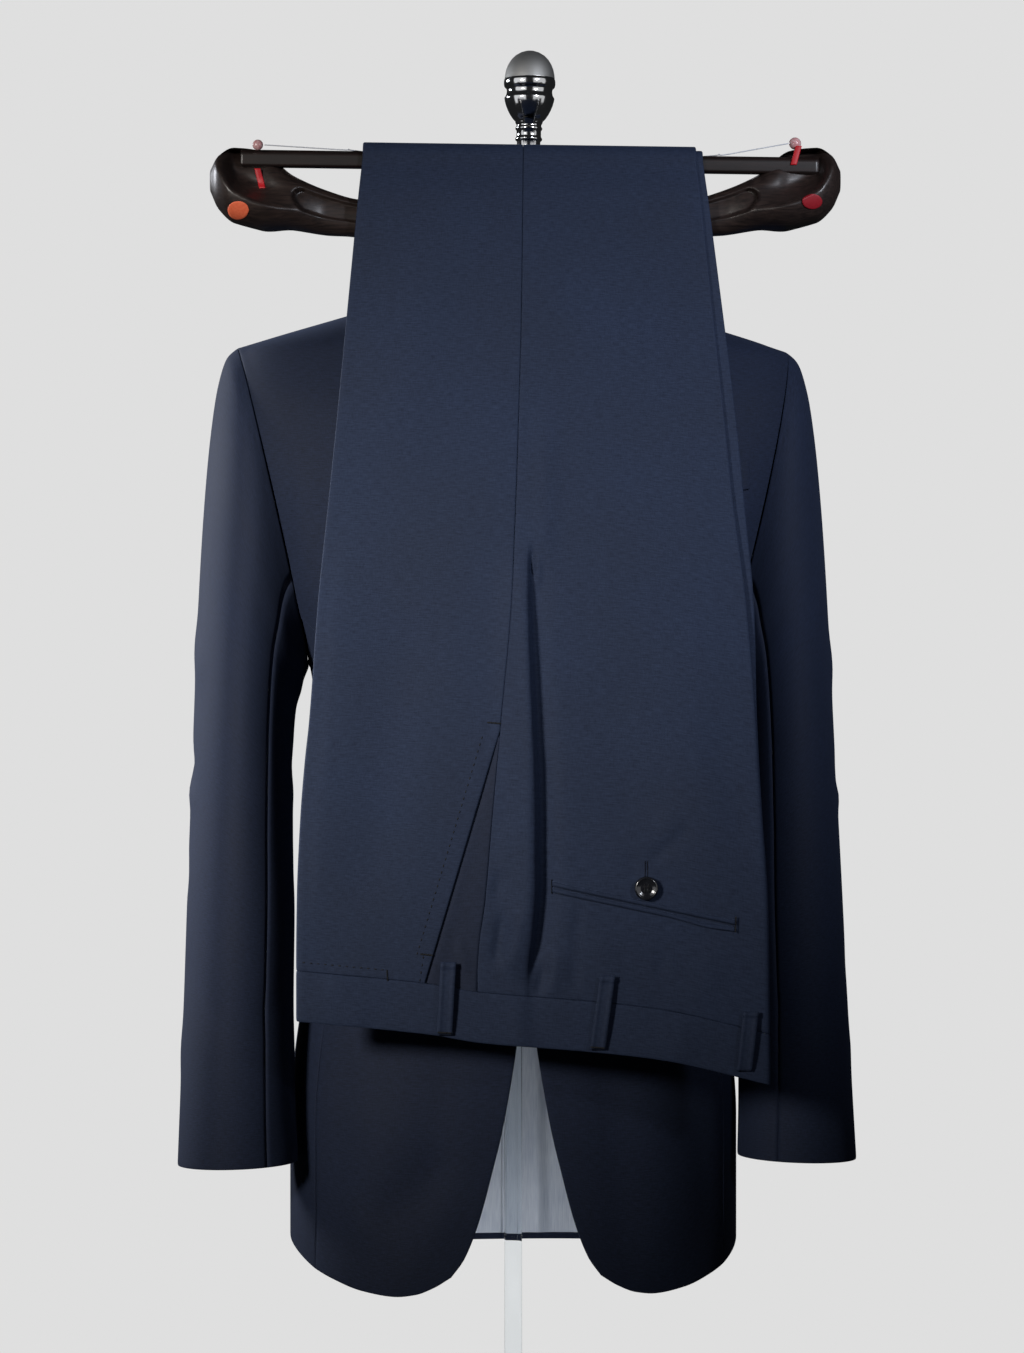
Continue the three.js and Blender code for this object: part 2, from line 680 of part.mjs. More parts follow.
function lapel(side) {
  const at = (u, v) => {
    const rollZ = lerp(ROLL_LOW_Z, LAPEL_TOP_Z, v);
    const edgeZ = lerp(ROLL_LOW_Z, LAPEL_EDGE_TOP_Z, v);
    const roll = look(FRONT_EDGE, "z", "x", rollZ) + 1;
    const edge = look(LAPEL, "z", "x", edgeZ);
    return offBody(side, lerp(roll, edge, u), lerp(rollZ, edgeZ, u), false, CLOTH + CLEAR);
  };
  return wall(at, steps(0, 1, 4), steps(0, 1, 14), CLOTH, side);
}

// The collar rises inside the neckline, rolls over and falls on the shoulders and the back.
function collar() {
  const inside = (point, gap) => {
    const shrink = 1 - gap / Math.hypot(point.x, point.y);
    return vec(point.x * shrink, point.y * shrink, point.z);
  };
  const neckline = (side, place) => {
    if (place <= 1) return bodyPoint(side, 2 - place * 0.999, NECK_Z);
    const z = lerp(NECK_Z, GORGE_Z, clamp01((place - 1.2) / 0.8));
    const start = placeOf(look(FRONT_EDGE, "z", "x", z), z, false);
    return bodyPoint(side, lerp(1, start, smooth((place - 1) / 0.25)), z);
  };
  const at = (u, v) => {
    const side = u < 0 ? -1 : 1;
    const place = 2 * Math.abs(u);
    const rise = look(COLLAR, "at", "rise", place);
    const base = inside(neckline(side, place), STAND_IN);
    const top = inside(neckline(side, place), CREST_IN);
    const low = offBody(
      side,
      look(COLLAR, "at", "x", place),
      look(COLLAR, "at", "z", place),
      place < 1,
      CLOTH + 4 * CLEAR,
    );
    const out = vec(top.x, top.y, 0).normalize();
    const crest = top.clone().addScaledVector(out, CREST_OUT).setZ(top.z + rise);
    const bend = Math.PI * clamp01(v - 1);
    const fall = crest
      .clone()
      .addScaledVector(out, -FALL_R * Math.cos(bend))
      .setZ(crest.z - FALL_R + FALL_R * Math.sin(bend));
    if (v <= 1) return base.clone().lerp(fall, v);
    return v <= 2 ? fall : fall.lerp(low, v - 2);
  };
  return wall(at, steps(-1, 1, 24), [0, 1, 1.33, 1.67, 2, 2.5, 3], CLOTH, 1);
}

// A sleeve panel, from one angle round the sleeve to another.
function sleevePanel(side, from, to, count) {
  const at = (share, row) => {
    const angle = lerp(from, to, share);
    const value = (name) => look(sleeveRows, "row", name, row);
    const [outX, outZ, inX, inZ] = [value("ox"), value("oz"), value("ix"), value("iz")];
    const along = (1 + Math.cos(angle)) / 2;
    const round = Math.abs(Math.sin(angle));
    const y = lerp(value("mid"), value(Math.sin(angle) > 0 ? "front" : "back"), round);
    return vec(side * (lerp(inX, outX, along) + SEAM), y, lerp(inZ, outZ, along));
  };
  return wall(at, steps(0, 1, count), steps(0, SLEEVE.length - 1, SLEEVE.length - 1), CLOTH, side);
}
const sleeveRows = SLEEVE.map((row, index) => ({ row: index, ...row }));

function breastWelt() {
  const at = (u, v) => {
    const x = lerp(WELT.leftX, WELT.rightX, u);
    const z = lerp(WELT.leftZ, WELT.rightZ, u) + WELT.high * v;
    return offBody(1, x, z, false, CLOTH + CLEAR);
  };
  return wall(at, steps(0, 1, 4), steps(0, 1, 1), CLOTH, 1);
}

function frontButton({ x, z }, out) {
  const shape = new THREE.CylinderGeometry(BUTTON_R, BUTTON_R, BUTTON_H, 24);
  const y = -look(BODY, "z", "front", z) - out - BUTTON_H / 2;
  return shape.translate(x, y, z);
}

const SIDES = [
  { side: -1, word: "right" },
  { side: 1, word: "left" },
];
for (const { side, word } of SIDES) {
  add(jacket, `jacket_front_${word}`, frontPanel(side), JACKET_WOOL);
  add(jacket, `jacket_side_${word}`, sidePanel(side), JACKET_WOOL);
  add(jacket, `jacket_back_${word}`, backPanel(side), JACKET_WOOL);
  add(jacket, `jacket_lapel_${word}`, lapel(side), JACKET_WOOL);
  add(jacket, `jacket_back_lining_${word}`, backLining(side), LINING);
  const gap = SEAM / 2 / SLEEVE_ARC;
  const [front, rear] = [SLEEVE_FRONT_SEAM, SLEEVE_BACK_SEAM];
  const top = sleevePanel(side, rear + gap, front - gap, 14);
  const under = sleevePanel(side, front + gap, rear + 2 * Math.PI - gap, 8);
  add(jacket, `top_sleeve_${word}`, top, JACKET_WOOL);
  add(jacket, `under_sleeve_${word}`, under, JACKET_WOOL);
}
add(jacket, "jacket_collar", collar(), JACKET_WOOL);
add(jacket, "breast_pocket_welt", breastWelt(), JACKET_WOOL);

add(jacket, "front_button_upper", frontButton(UPPER_BUTTON, LAP + CLEAR), HORN);
add(jacket, "front_button_lower", frontButton(LOWER_BUTTON, CLEAR), HORN);

// ---------------------------------------------------------------- the trousers

const BAR_FACE = BAR_D / 2 + 0.8;
const ARC_Z = BAR_TOP_Z - BAR_D / 2;
const waistSeam = (x) => look(WAIST_SEAM, "x", "z", x);

// The two faces of a leg: the right leg hangs in front of the left one.
const LEGS = {
  right: { outer: 3, inner: 2, shift: 0 },
  left: { outer: 0, inner: 1, shift: 1 },
};

// How far a face lies from the bar's middle plane, on the near (-1) or the far (1) side.
function faceOff(layer, z, far) {
  const { face, full } = LAYERS[layer];
  const away = look(HANG, "z", far ? "far" : "near", z);
  return BAR_FACE + face + away + full * look(HANG, "z", "full", z) * (far ? FAR_FULL : 1);
}

// The outlines of one leg at a height.
function outline(leg, z, far) {
  const table = far ? LEG_FAR : LEG;
  const shift = leg.shift * look(LEFT_SHIFT, "z", "x", far ? 996 : z);
  const value = (name) => look(table, "z", name, z) + shift;
  const [left, right, inseam] = [value("left"), value("right"), value("inseam")];
  const gap = SEAM;
  return {
    left,
    right,
    seam: value("seam"),
    frontEnd: far ? inseam - gap : Math.min(inseam - gap, left + look(RISE, "z", "front", z)),
    backEnd: far ? inseam + gap : Math.max(inseam + gap, right - look(RISE, "z", "back", z)),
  };
}

// A point of one leg's outer face. u goes round the section: 0 to 1 from the fly to the front
// crease inside, 1 to 2 round that crease, 2 to 3 across the outer face, 3 to 4 round the back
// crease and 4 to 5 inside. v is 0 to 1 up the near side from z0, 1 to 2 over the bar, and 2 to 3
// down the far side.
function legPoint(leg, u, v, z0) {
  const far = v > 1.5;
  const z = heightOf(v, z0);
  const lines = outline(leg, z, far);
  const [outer, inner] = [faceOff(leg.outer, z, far), faceOff(leg.inner, z, far)];
  const round = Math.abs(outer - inner) / 2;
  let x;
  let off;
  if (u <= 1) {
    x = lerp(lines.frontEnd, lines.left + round, u);
    off = inner;
  } else if (u <= 2) {
    const angle = Math.PI * (u - 1);
    x = lines.left + round * (1 - Math.sin(angle));
    off = lerp(inner, outer, (1 - Math.cos(angle)) / 2);
  } else if (u <= 3) {
    x = lerp(lines.left + round, lines.right - round, u - 2);
    off = outer;
  } else if (u <= 4) {
    const angle = Math.PI * (u - 3);
    x = lines.right - round * (1 - Math.sin(angle));
    off = lerp(outer, inner, (1 - Math.cos(angle)) / 2);
  } else {
    x = lerp(lines.right - round, lines.backEnd, u - 4);
    off = inner;
  }
  if (leg.outer === 3 && !far && u >= 2 && u <= 3) {
    const centre = look(FOLD, "z", "x", z);
    off += look(FOLD, "z", "roll", z) * bell(x - centre - ROLL_OFF, ROLL_HALF);
    off -= look(FOLD, "z", "depth", z) * bell(x - centre - VALLEY_OFF, VALLEY_HALF);
  }
  const rise = BAR_SLOPE * (x - HANGER_X) * smooth((z - SLOPE_LOW_Z) / SLOPE_OVER);
  if (v <= 1) return vec(x, HANGER_Y - off, z + rise);
  if (v >= 2) return vec(x, HANGER_Y + off, z + rise);
  const turn = Math.PI * (v - 1);
  return vec(x, HANGER_Y - off * Math.cos(turn), ARC_Z + off * Math.sin(turn) + rise);
}

// Where the outer face is x across at a height.
function placeAcross(leg, x, z, far) {
  const lines = outline(leg, z, far);
  const round = Math.abs(faceOff(leg.outer, z, far) - faceOff(leg.inner, z, far)) / 2;
  return 2 + (x - lines.left - round) / (lines.right - lines.left - 2 * round);
}

function pocketLine(z) {
  const share = (z - POCKET_BOTTOM.z) / (POCKET_TOP.z - POCKET_BOTTOM.z);
  return lerp(POCKET_BOTTOM.x, POCKET_TOP.x, share);
}

const LEG_ROWS = [0, 0.06, 0.13, 0.2, 0.28, 0.36, 0.46, 0.6, 0.76, 0.9, 1]
  .concat([1.2, 1.4, 1.6, 1.8, 2, 2.2, 2.55, 3]);
function heightOf(v, z0) {
  if (v <= 1) return lerp(z0, ARC_Z, v);
  return v >= 2 ? lerp(ARC_Z, LEG_FAR_HEM_Z, v - 2) : ARC_Z;
}

// One panel of a leg, from the fly round the front crease to the side seam, or from there round
// the back crease to the seat seam. The columns are places round the section.
function legPanel(leg, back, hasPocket) {
  const placeAt = (c, z, far) => {
    if (back ? c >= 3 : c <= 2) return c;
    const open = hasPocket && !far && z < POCKET_TOP.z;
    const seamX = outline(leg, z, far).seam + (back ? SEAM : -SEAM);
    const seam = placeAcross(leg, open && !back ? pocketLine(z) - SEAM : seamX, z, far);
    return back ? lerp(seam, 3, c - 2) : lerp(2, seam, c - 2);
  };
  const at = (c, v) => {
    const low = legPoint(leg, placeAt(c, BAND_MIDDLE_Z, false), 0, BAND_MIDDLE_Z);
    const z0 = waistSeam(low.x) + 5 * SEAM;
    const z = heightOf(v, z0);
    return legPoint(leg, placeAt(c, z, v > 1.5), v, z0);
  };
  const columns = back
    ? [2, 2.05, 2.09, 2.13, 2.18, 2.26, 2.5, 2.78, 3, 3.33, 3.67, 4, 5]
    : [0, 1, 1.33, 1.67, 2, 2.5, 2.85, 3];
  return wall(at, columns, LEG_ROWS, WOOL, leg.outer === 3 ? 1 : -1);
}

// The facing under the slanting opening, between the front's edge and the side seam.
function pocketFacing(leg) {
  const at = (c, v) => {
    const z = lerp(waistSeam(FACING_X) + 2 * SEAM, POCKET_TOP.z - FACING_TOP, v);
    const x = lerp(pocketLine(z) + 2 * SEAM, outline(leg, z, false).seam - 3 * SEAM, c);
    const low = waistSeam(x) + 3 * SEAM;
    const height = lerp(low, z, smooth(v * 4));
    const up = (height - LOWEST_Z) / (ARC_Z - LOWEST_Z);
    return legPoint(leg, placeAcross(leg, x, height, false), up, LOWEST_Z);
  };
  return wall(at, [0, 0.5, 1], [0, 0.1, 0.25, 0.4, 0.55, 0.7, 0.85, 1], WOOL, 1);
}

// The waistband follows the whole section, from the fly round both creases to the centre back.
function waistband(leg) {
  const at = (u, v) => {
    const top = waistSeam(legPoint(leg, u, 0, BAND_MIDDLE_Z).x) - SEAM;
    const z = lerp(top, top - BAND_H, v);
    return legPoint(leg, u, 0, z);
  };
  const columns = [0, 0.5, 1, 1.25, 1.5, 1.75, 2, 2.25, 2.45, 2.54, 2.6, 2.7, 2.85, 3]
    .concat([3.25, 3.5, 3.75, 4, 5]);
  return wall(at, columns, [0, 1], BAND_T, leg.outer === 3 ? -1 : 1);
}

// A point on the leg's outer face at x, z, moved out from it.
function onLeg(leg, x, z, out) {
  const point = legPoint(leg, placeAcross(leg, x, z, false), 0, z);
  point.y += leg.outer === 3 ? -out : out;
  return point;
}

// Flat strips sewn on the outer face between two lines, given by their corners.
function patch(leg, corners, out, thickness, across = 1, down = 1) {
  const [a, b, c, d] = corners;
  const at = (u, v) => {
    const x = lerp(lerp(a.x, b.x, u), lerp(d.x, c.x, u), v);
    const z = lerp(lerp(a.z, b.z, u), lerp(d.z, c.z, u), v);
    return onLeg(leg, x, z, out);
  };
  return wall(at, steps(0, 1, across), steps(0, 1, down), thickness, leg.outer === 3 ? 1 : -1);
}

for (const [word, leg] of Object.entries(LEGS)) {
  add(suit, `trouser_front_${word}`, legPanel(leg, false, word === "right"), TROUSER_WOOL);
  add(suit, `trouser_back_${word}`, legPanel(leg, true, false), TROUSER_WOOL);
  add(suit, `waistband_${word}`, waistband(leg), TROUSER_WOOL);
}
add(suit, "side_pocket_facing", pocketFacing(LEGS.right), TROUSER_WOOL);

// Belt loops run from above the waist seam to the band's lower edge.
const LOOPS = [
  { word: "front", topX: -48.5, topZ: 386, lowX: -51.5, lowZ: 331 },
  { word: "side", topX: 70.7, topZ: 376, lowX: 63, lowZ: 320 },
  { word: "back", topX: 178, topZ: 349, lowX: 173, lowZ: 304 },
];
for (const { word, topX, topZ, lowX, lowZ } of LOOPS)
  for (const [leg, name] of [
    [LEGS.right, "right"],
    [LEGS.left, "left"],
  ]) {
    const half = LOOP_W / 2;
    const corners = [
      { x: lowX - half, z: lowZ },
      { x: lowX + half, z: lowZ },
      { x: topX + half, z: topZ },
      { x: topX - half, z: topZ },
    ];
    const loop = patch(leg, corners, LOOP_OUT, LOOP_T, 1, 4);
    if (word !== "back" || name === "right")
      add(suit, `belt_loop_${word}_${name}`, loop, TROUSER_WOOL);
  }

// The back pocket's two jets and its button.
for (const [word, low, high] of [
  ["upper", JET.slit, JET.half],
  ["lower", -JET.half, -JET.slit],
]) {
  const corners = [
    { x: JET.leftX, z: JET.leftZ + low },
    { x: JET.rightX, z: JET.rightZ + low },
    { x: JET.rightX, z: JET.rightZ + high },
    { x: JET.leftX, z: JET.leftZ + high },
  ];
  add(suit, `back_pocket_jet_${word}`, patch(LEGS.right, corners, JET_OUT, 1, 20, 1), TROUSER_WOOL);
}
const { x: buttonX, z: buttonZ, r: buttonR, h: buttonH } = POCKET_BUTTON;
const buttonAt = onLeg(LEGS.right, buttonX, buttonZ, 0.8 + buttonH / 2);
const pocketButton = new THREE.CylinderGeometry(buttonR, buttonR, buttonH, 28);
add(suit, "back_pocket_button", pocketButton.translate(...buttonAt.toArray()), HORN);

// ---------------------------------------------------------------- the hanger

const soft = (value) => Math.sign(value) * Math.abs(value) ** 0.85;

// A point of an arm's surface; the angle turns from the back over the top.
function armPoint(side, along, angle) {
  const value = (name) => look(ARM, "x", name, along);
  return vec(
    HANGER_X + side * (along + 10),
    HANGER_Y + (value("deep") / 2) * soft(Math.cos(angle)),
    value("z") + (value("high") / 2) * soft(Math.sin(angle)),
  );
}

const hangerBarShape = () => {
  const shape = new THREE.Shape();
  const [r, h] = [BAR_D / 2, BAR_H];
  shape.moveTo(-r, -h + r + 3);
  shape.absarc(-r + 3, -h + r + 3, 3, Math.PI, 1.5 * Math.PI);
  shape.absarc(r - 3, -h + r + 3, 3, 1.5 * Math.PI, 2 * Math.PI);
  shape.absarc(0, 0, r, 0, Math.PI);
  return shape;
};

// The bar with a margin all round, along X through the point where the legs turn over it.
function hangerBar(margin) {
  const length = BAR_RIGHT - BAR_LEFT + 2 * margin;
  const bar = new THREE.ExtrudeGeometry(hangerBarShape(), {
    depth: length,
    bevelEnabled: false,
    curveSegments: 6,
  });
  bar.scale(1 + (2 * margin) / BAR_D, 1 + (2 * margin) / BAR_H, 1);
  bar.rotateX(Math.PI / 2).rotateZ(Math.PI / 2);
  bar.translate(-length / 2, 0, 0);
  bar.rotateY(-Math.atan(BAR_SLOPE));
  const middle = (BAR_LEFT + BAR_RIGHT) / 2;
  return bar.translate(middle, HANGER_Y, ARC_Z + BAR_SLOPE * (middle - HANGER_X));
}

function hangerArms() {
  const places = ARM.map(({ x }) => x).concat([128, 152, 178, 216]).sort((a, b) => a - b);
  const ring = (side, along) =>
    Array.from({ length: 16 }, (_, k) => armPoint(side, along, (2 * Math.PI * k) / 16));
  const left = places.map((along) => ring(-1, along)).reverse();
  const right = places.map((along) => ring(1, along));
  const arms = solidOf(loft([...left, ...right]));
  return geometryOf(arms.subtract(solidOf(hangerBar(0.4))));
}

// A strap on an arm's face.
function armStrap(side, along, from, to) {
  const at = (u, v) => {
    const point = armPoint(side, lerp(along - TIE_W / 2, along + TIE_W / 2, u), lerp(from, to, v));
    return point.add(vec(0, -TIE_OUT, 0));
  };
  return wall(at, [0, 1], steps(0, 1, 5), TIE_T, side);
}

// A paper disc where it lies on an arm.
function armDisc(side, along, angle, radius) {
  const disc = new THREE.CylinderGeometry(radius, radius, 0.8, 28);
  const place = (da, dx) => armPoint(side, along + dx, angle + da);
  const out = place(0.02, 0).sub(place(-0.02, 0)).cross(place(0, 1).sub(place(0, -1))).normalize();
  if (out.y > 0) out.negate();
  const turn = new THREE.Quaternion().setFromUnitVectors(vec(0, 1, 0), out);
  disc.applyQuaternion(turn);
  return disc.translate(...place(0, 0).addScaledVector(out, 1).toArray());
}

// A thread from its bead along the bar's front, over the bar beside the cloth, and back to the
// finial's neck.
function thread(side, crossX, bead) {
  const middleZ = ARC_Z + BAR_SLOPE * (crossX - HANGER_X);
  const round = (degrees, dx) => {
    const angle = THREE.MathUtils.degToRad(degrees);
    const r = BAR_D / 2 + THREAD_OFF;
    return vec(crossX + dx, HANGER_Y - r * Math.cos(angle), middleZ + r * Math.sin(angle));
  };
  const start = bead.clone().add(vec(-side * 5, 0, 0));
  const end = vec(KNOT.x + side * KNOT.half, KNOT.y, KNOT.z);
  const turns = [round(10, side * 1.5), round(50, side), round(90, side * 0.5), round(112, 0)];
  const near = start.clone().lerp(turns[0], 0.5);
  const last = turns[3];
  const far = steps(0.25, 1, 3).map((t) => last.clone().lerp(end, t));
  return tube([start, near, ...turns, ...far], THREAD_R, 6, 24);
}

add(suit, "hanger_bar", hangerBar(0), BAR_WOOD);
add(suit, "hanger_arms", hangerArms(), DARK_WOOD);
const hookPoints = [
  [0, 0],
  [0, -18],
  [-3, -36],
  [-16, -46],
  [-22, -62],
  [-14, -79],
  [3, -85],
  [19, -76],
  [23, -62],
];
const hookTop = ARM[0].z - ARM[0].high / 2 - 0.5;
const hookPath = hookPoints.map(([x, z]) => vec(HANGER_X + x, HANGER_Y, hookTop + z));
add(suit, "hanger_hook", tube(hookPath, 1.8, 8, 28), STEEL);

const DISCS = [
  { side: -1, word: "orange", along: 204, angle: 222, material: ORANGE_DISC },
  { side: 1, word: "crimson", along: 203, angle: 208, material: RED_DISC },
];
const DISC_R = 7.5;
for (const { side, word, along, angle, material } of DISCS) {
  const disc = armDisc(side, along, THREE.MathUtils.degToRad(angle), DISC_R);
  add(suit, `hanger_disc_${word}`, disc, material);
}

const TIES = [
  { side: -1, word: "right", strap: 190, from: 176, to: 150, bead: vec(-192.5, -174, 1000), r: 4 },
  { side: 1, word: "left", strap: 194, from: 162, to: 140, bead: vec(213, -164, 1002.5), r: 5 },
];
const CROSSINGS = { right: -121, left: 152 };
for (const { side, word, strap, from, to, bead, r } of TIES) {
  const [a, b] = [THREE.MathUtils.degToRad(from), THREE.MathUtils.degToRad(to)];
  add(suit, `hanger_tie_${word}`, armStrap(side, strap, a, b), RED_RUBBER);
  const ball = new THREE.SphereGeometry(r, 14, 9).translate(...bead.toArray());
  add(suit, `thread_bead_${word}`, ball, RED_RUBBER);
  add(suit, `thread_${word}`, thread(side, CROSSINGS[word], bead), THREAD);
}

// ---------------------------------------------------------------- the dress form and its stand

function torso() {
  const rings = TORSO.map(({ z, side, front, back }) => {
    const points = [];
    for (let k = 0; k < 24; k++) {
      const angle = (2 * Math.PI * k) / 24;
      const [c, s] = [Math.cos(angle), Math.sin(angle)];
      const reach = s < 0 ? front : back;
      points.push(vec(side * shaped(c), reach * shaped(s), z));
    }
    return points;
  });
  const solid = loft(rings);
  return solid.rotateZ(YAW).translate(0, 0, -FORM_BOTTOM_Z);
}

const lowered = (profile) => profile.map(({ r, z }) => ({ r, z: z - FORM_BOTTOM_Z }));
add(form, "form_torso", torso(), FORM_CLOTH);
const capProfile = [
  { r: 0, z: NECK_TOP_Z + 0.4 },
  { r: 40, z: NECK_TOP_Z + 0.4 },
  { r: 42, z: NECK_TOP_Z + 3 },
  { r: 42, z: FINIAL_BASE_Z - 3 },
  { r: 39, z: FINIAL_BASE_Z - 0.4 },
  { r: 0, z: FINIAL_BASE_Z - 0.4 },
];
add(form, "form_neck_cap", turned(lowered(capProfile), 28), DARK_WOOD);
add(form, "form_finial", turned(lowered(FINIAL), 24), SILVER);

const rodLength = FORM_BOTTOM_Z - 0.6 - BASE_H - 0.4;
const rod = new THREE.CylinderGeometry(ROD_R, ROD_R, rodLength, 28).rotateX(Math.PI / 2);
add(suit, "stand_rod", rod.translate(0, 0, BASE_H + 0.4 + rodLength / 2), ACRYLIC);
const baseProfile = [
  { r: 0, z: 0 },
  { r: BASE_R - 1, z: 0 },
  { r: BASE_R, z: 1 },
  { r: BASE_R, z: BASE_H - 2 },
  { r: BASE_R - 2, z: BASE_H },
  { r: 0, z: BASE_H },
];
add(suit, "stand_base", turned(baseProfile, 48), ACRYLIC);

export default suit;
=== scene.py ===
import json
import math

import bmesh
import bpy
import numpy as np
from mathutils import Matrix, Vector

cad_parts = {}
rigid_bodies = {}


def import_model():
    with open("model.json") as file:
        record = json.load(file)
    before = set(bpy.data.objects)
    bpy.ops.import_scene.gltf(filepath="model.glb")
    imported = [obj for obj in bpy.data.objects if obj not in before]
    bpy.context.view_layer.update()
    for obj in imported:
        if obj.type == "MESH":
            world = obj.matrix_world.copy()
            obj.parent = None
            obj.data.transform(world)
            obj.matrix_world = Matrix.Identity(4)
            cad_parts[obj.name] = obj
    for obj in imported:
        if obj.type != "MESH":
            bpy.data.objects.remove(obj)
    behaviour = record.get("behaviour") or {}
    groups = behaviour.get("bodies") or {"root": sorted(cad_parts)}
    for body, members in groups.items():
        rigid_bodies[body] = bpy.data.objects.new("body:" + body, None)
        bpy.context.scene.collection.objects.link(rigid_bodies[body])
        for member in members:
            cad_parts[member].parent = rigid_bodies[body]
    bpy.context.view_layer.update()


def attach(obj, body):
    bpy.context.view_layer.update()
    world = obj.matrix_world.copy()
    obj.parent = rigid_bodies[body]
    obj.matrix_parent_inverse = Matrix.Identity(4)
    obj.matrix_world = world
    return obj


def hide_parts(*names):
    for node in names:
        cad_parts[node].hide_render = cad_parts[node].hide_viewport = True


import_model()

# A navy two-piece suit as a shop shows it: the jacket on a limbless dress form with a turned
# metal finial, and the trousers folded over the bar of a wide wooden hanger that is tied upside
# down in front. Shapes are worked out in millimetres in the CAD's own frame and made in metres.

MM = 0.001


# ------------------------------------------------------------ camera, light and floor

CAMERA_AWAY = 3.0  # metres in front of the form
CAMERA_HIGH = 0.5995
CAMERA_SIDE = -0.001
LENS = 99.8
SENSOR = 36.0
WORLD_LIGHT = 0.02
# Focused lamps: place and aim in metres, radius, cone in degrees, power in watts and colour.
SPOTS = [
    ("key", (-1.55, -2.20, 1.15), (-0.15, 0.0, 0.58), 0.26, 24.5, 300, "#fffaf4"),
    ("fill", (1.50, -2.20, 1.60), (0.24, 0.0, 0.86), 0.26, 23, 230, "#eef3ff"),
    ("rim", (-1.9, 0.9, 1.3), (-0.24, 0.0, 0.62), 0.30, 34, 170, "#f4f7ff"),
]
# Large cards that only polished metal and horn mirror: place and aim in metres, width, height,
# power in watts.
CARDS = [
    ("left_card", (-1.95, -1.9, 1.15), (0, 0, 1.05), 3.0, 2.6, 21),
    ("right_card", (1.95, -1.9, 1.15), (0, 0, 1.05), 3.0, 2.6, 17),
]
# A small low lamp for the inside of the back: place, aim, width, height, power.
LOW_LAMP = ((-0.02, -0.03, 0.11), (-0.01, 0.11, 0.24), 0.16, 0.04, 0.09)
POLISHED = bpy.data.collections.new("polished")
FLOOR_RADIUS, FLOOR_CLEAR, FLOOR_GONE = 1.1, 0.15, 0.34


def srgb(hex_colour):
    """A hex sRGB colour as linear RGBA."""
    parts = [int(hex_colour[i : i + 2], 16) / 255 for i in (1, 3, 5)]
    linear = [c / 12.92 if c <= 0.04045 else ((c + 0.055) / 1.055) ** 2.4 for c in parts]
    return (*linear, 1.0)


def link_object(obj):
    bpy.context.scene.collection.objects.link(obj)
    return obj


def add(tree, kind, inputs=None, **settings):
    """Adds a node with its settings; each input gets a value or a link from a socket."""
    node = tree.nodes.new(kind)
    for name, value in settings.items():
        setattr(node, name, value)
    for name, value in (inputs or {}).items():
        if isinstance(value, bpy.types.NodeSocket):
            tree.links.new(value, node.inputs[name])
        else:
            node.inputs[name].default_value = value
    return node


def make_camera():
    data = bpy.data.cameras.new("camera")
    data.lens, data.sensor_width = LENS, SENSOR
    data.clip_end = 50
    camera = link_object(bpy.data.objects.new("camera", data))
    camera.location = (CAMERA_SIDE, -CAMERA_AWAY, CAMERA_HIGH)
    camera.rotation_euler = (math.pi / 2, 0, 0)
    bpy.context.scene.camera = camera


def make_world():
    """A pale even surround, seen straight or through clear plastic, and a dim one that lights."""
    world = bpy.data.worlds.new("studio")
    bpy.context.scene.world = world
    world.use_nodes = True
    tree = world.node_tree
    tree.nodes.clear()
    seen = add(tree, "ShaderNodeBackground", {"Color": srgb("#dfdfdf"), "Strength": 1.0})
    lit = add(tree, "ShaderNodeBackground", {"Color": srgb("#dfe3ea"), "Strength": WORLD_LIGHT})
    path = add(tree, "ShaderNodeLightPath").outputs
    inputs = {0: path["Is Camera Ray"], 1: path["Is Transmission Ray"]}
    straight = add(tree, "ShaderNodeMath", inputs, operation="MAXIMUM").outputs[0]
    inputs = {0: straight, 1: lit.outputs[0], 2: seen.outputs[0]}
    mix = add(tree, "ShaderNodeMixShader", inputs)
    add(tree, "ShaderNodeOutputWorld", {"Surface": mix.outputs[0]})


def make_light(name, kind, place, aim, power, colour):
    data = bpy.data.lights.new(name, kind)
    data.energy = power
    data.color = srgb(colour)[:3]
    light = link_object(bpy.data.objects.new(name, data))
    light.location = place
    light.rotation_euler = (Vector(aim) - Vector(place)).to_track_quat("-Z", "Y").to_euler()
    return light


def make_lights():
    for name, place, aim, radius, cone, power, colour in SPOTS:
        data = make_light(name, "SPOT", place, aim, power, colour).data
        data.shadow_soft_size = radius
        data.spot_size, data.spot_blend = math.radians(cone), 1.0
    for name, place, aim, wide, high, power in CARDS:
        card = make_light(name, "AREA", place, aim, power, "#f8f9fc")
        card.data.shape, card.data.size, card.data.size_y = "RECTANGLE", wide, high
        card.visible_diffuse = False
        card.light_linking.receiver_collection = POLISHED
    place, aim, wide, high, power = LOW_LAMP
    low = make_light("low", "AREA", place, aim, power, "#f4f7ff").data
    low.shape, low.size, low.size_y = "RECTANGLE", wide, high


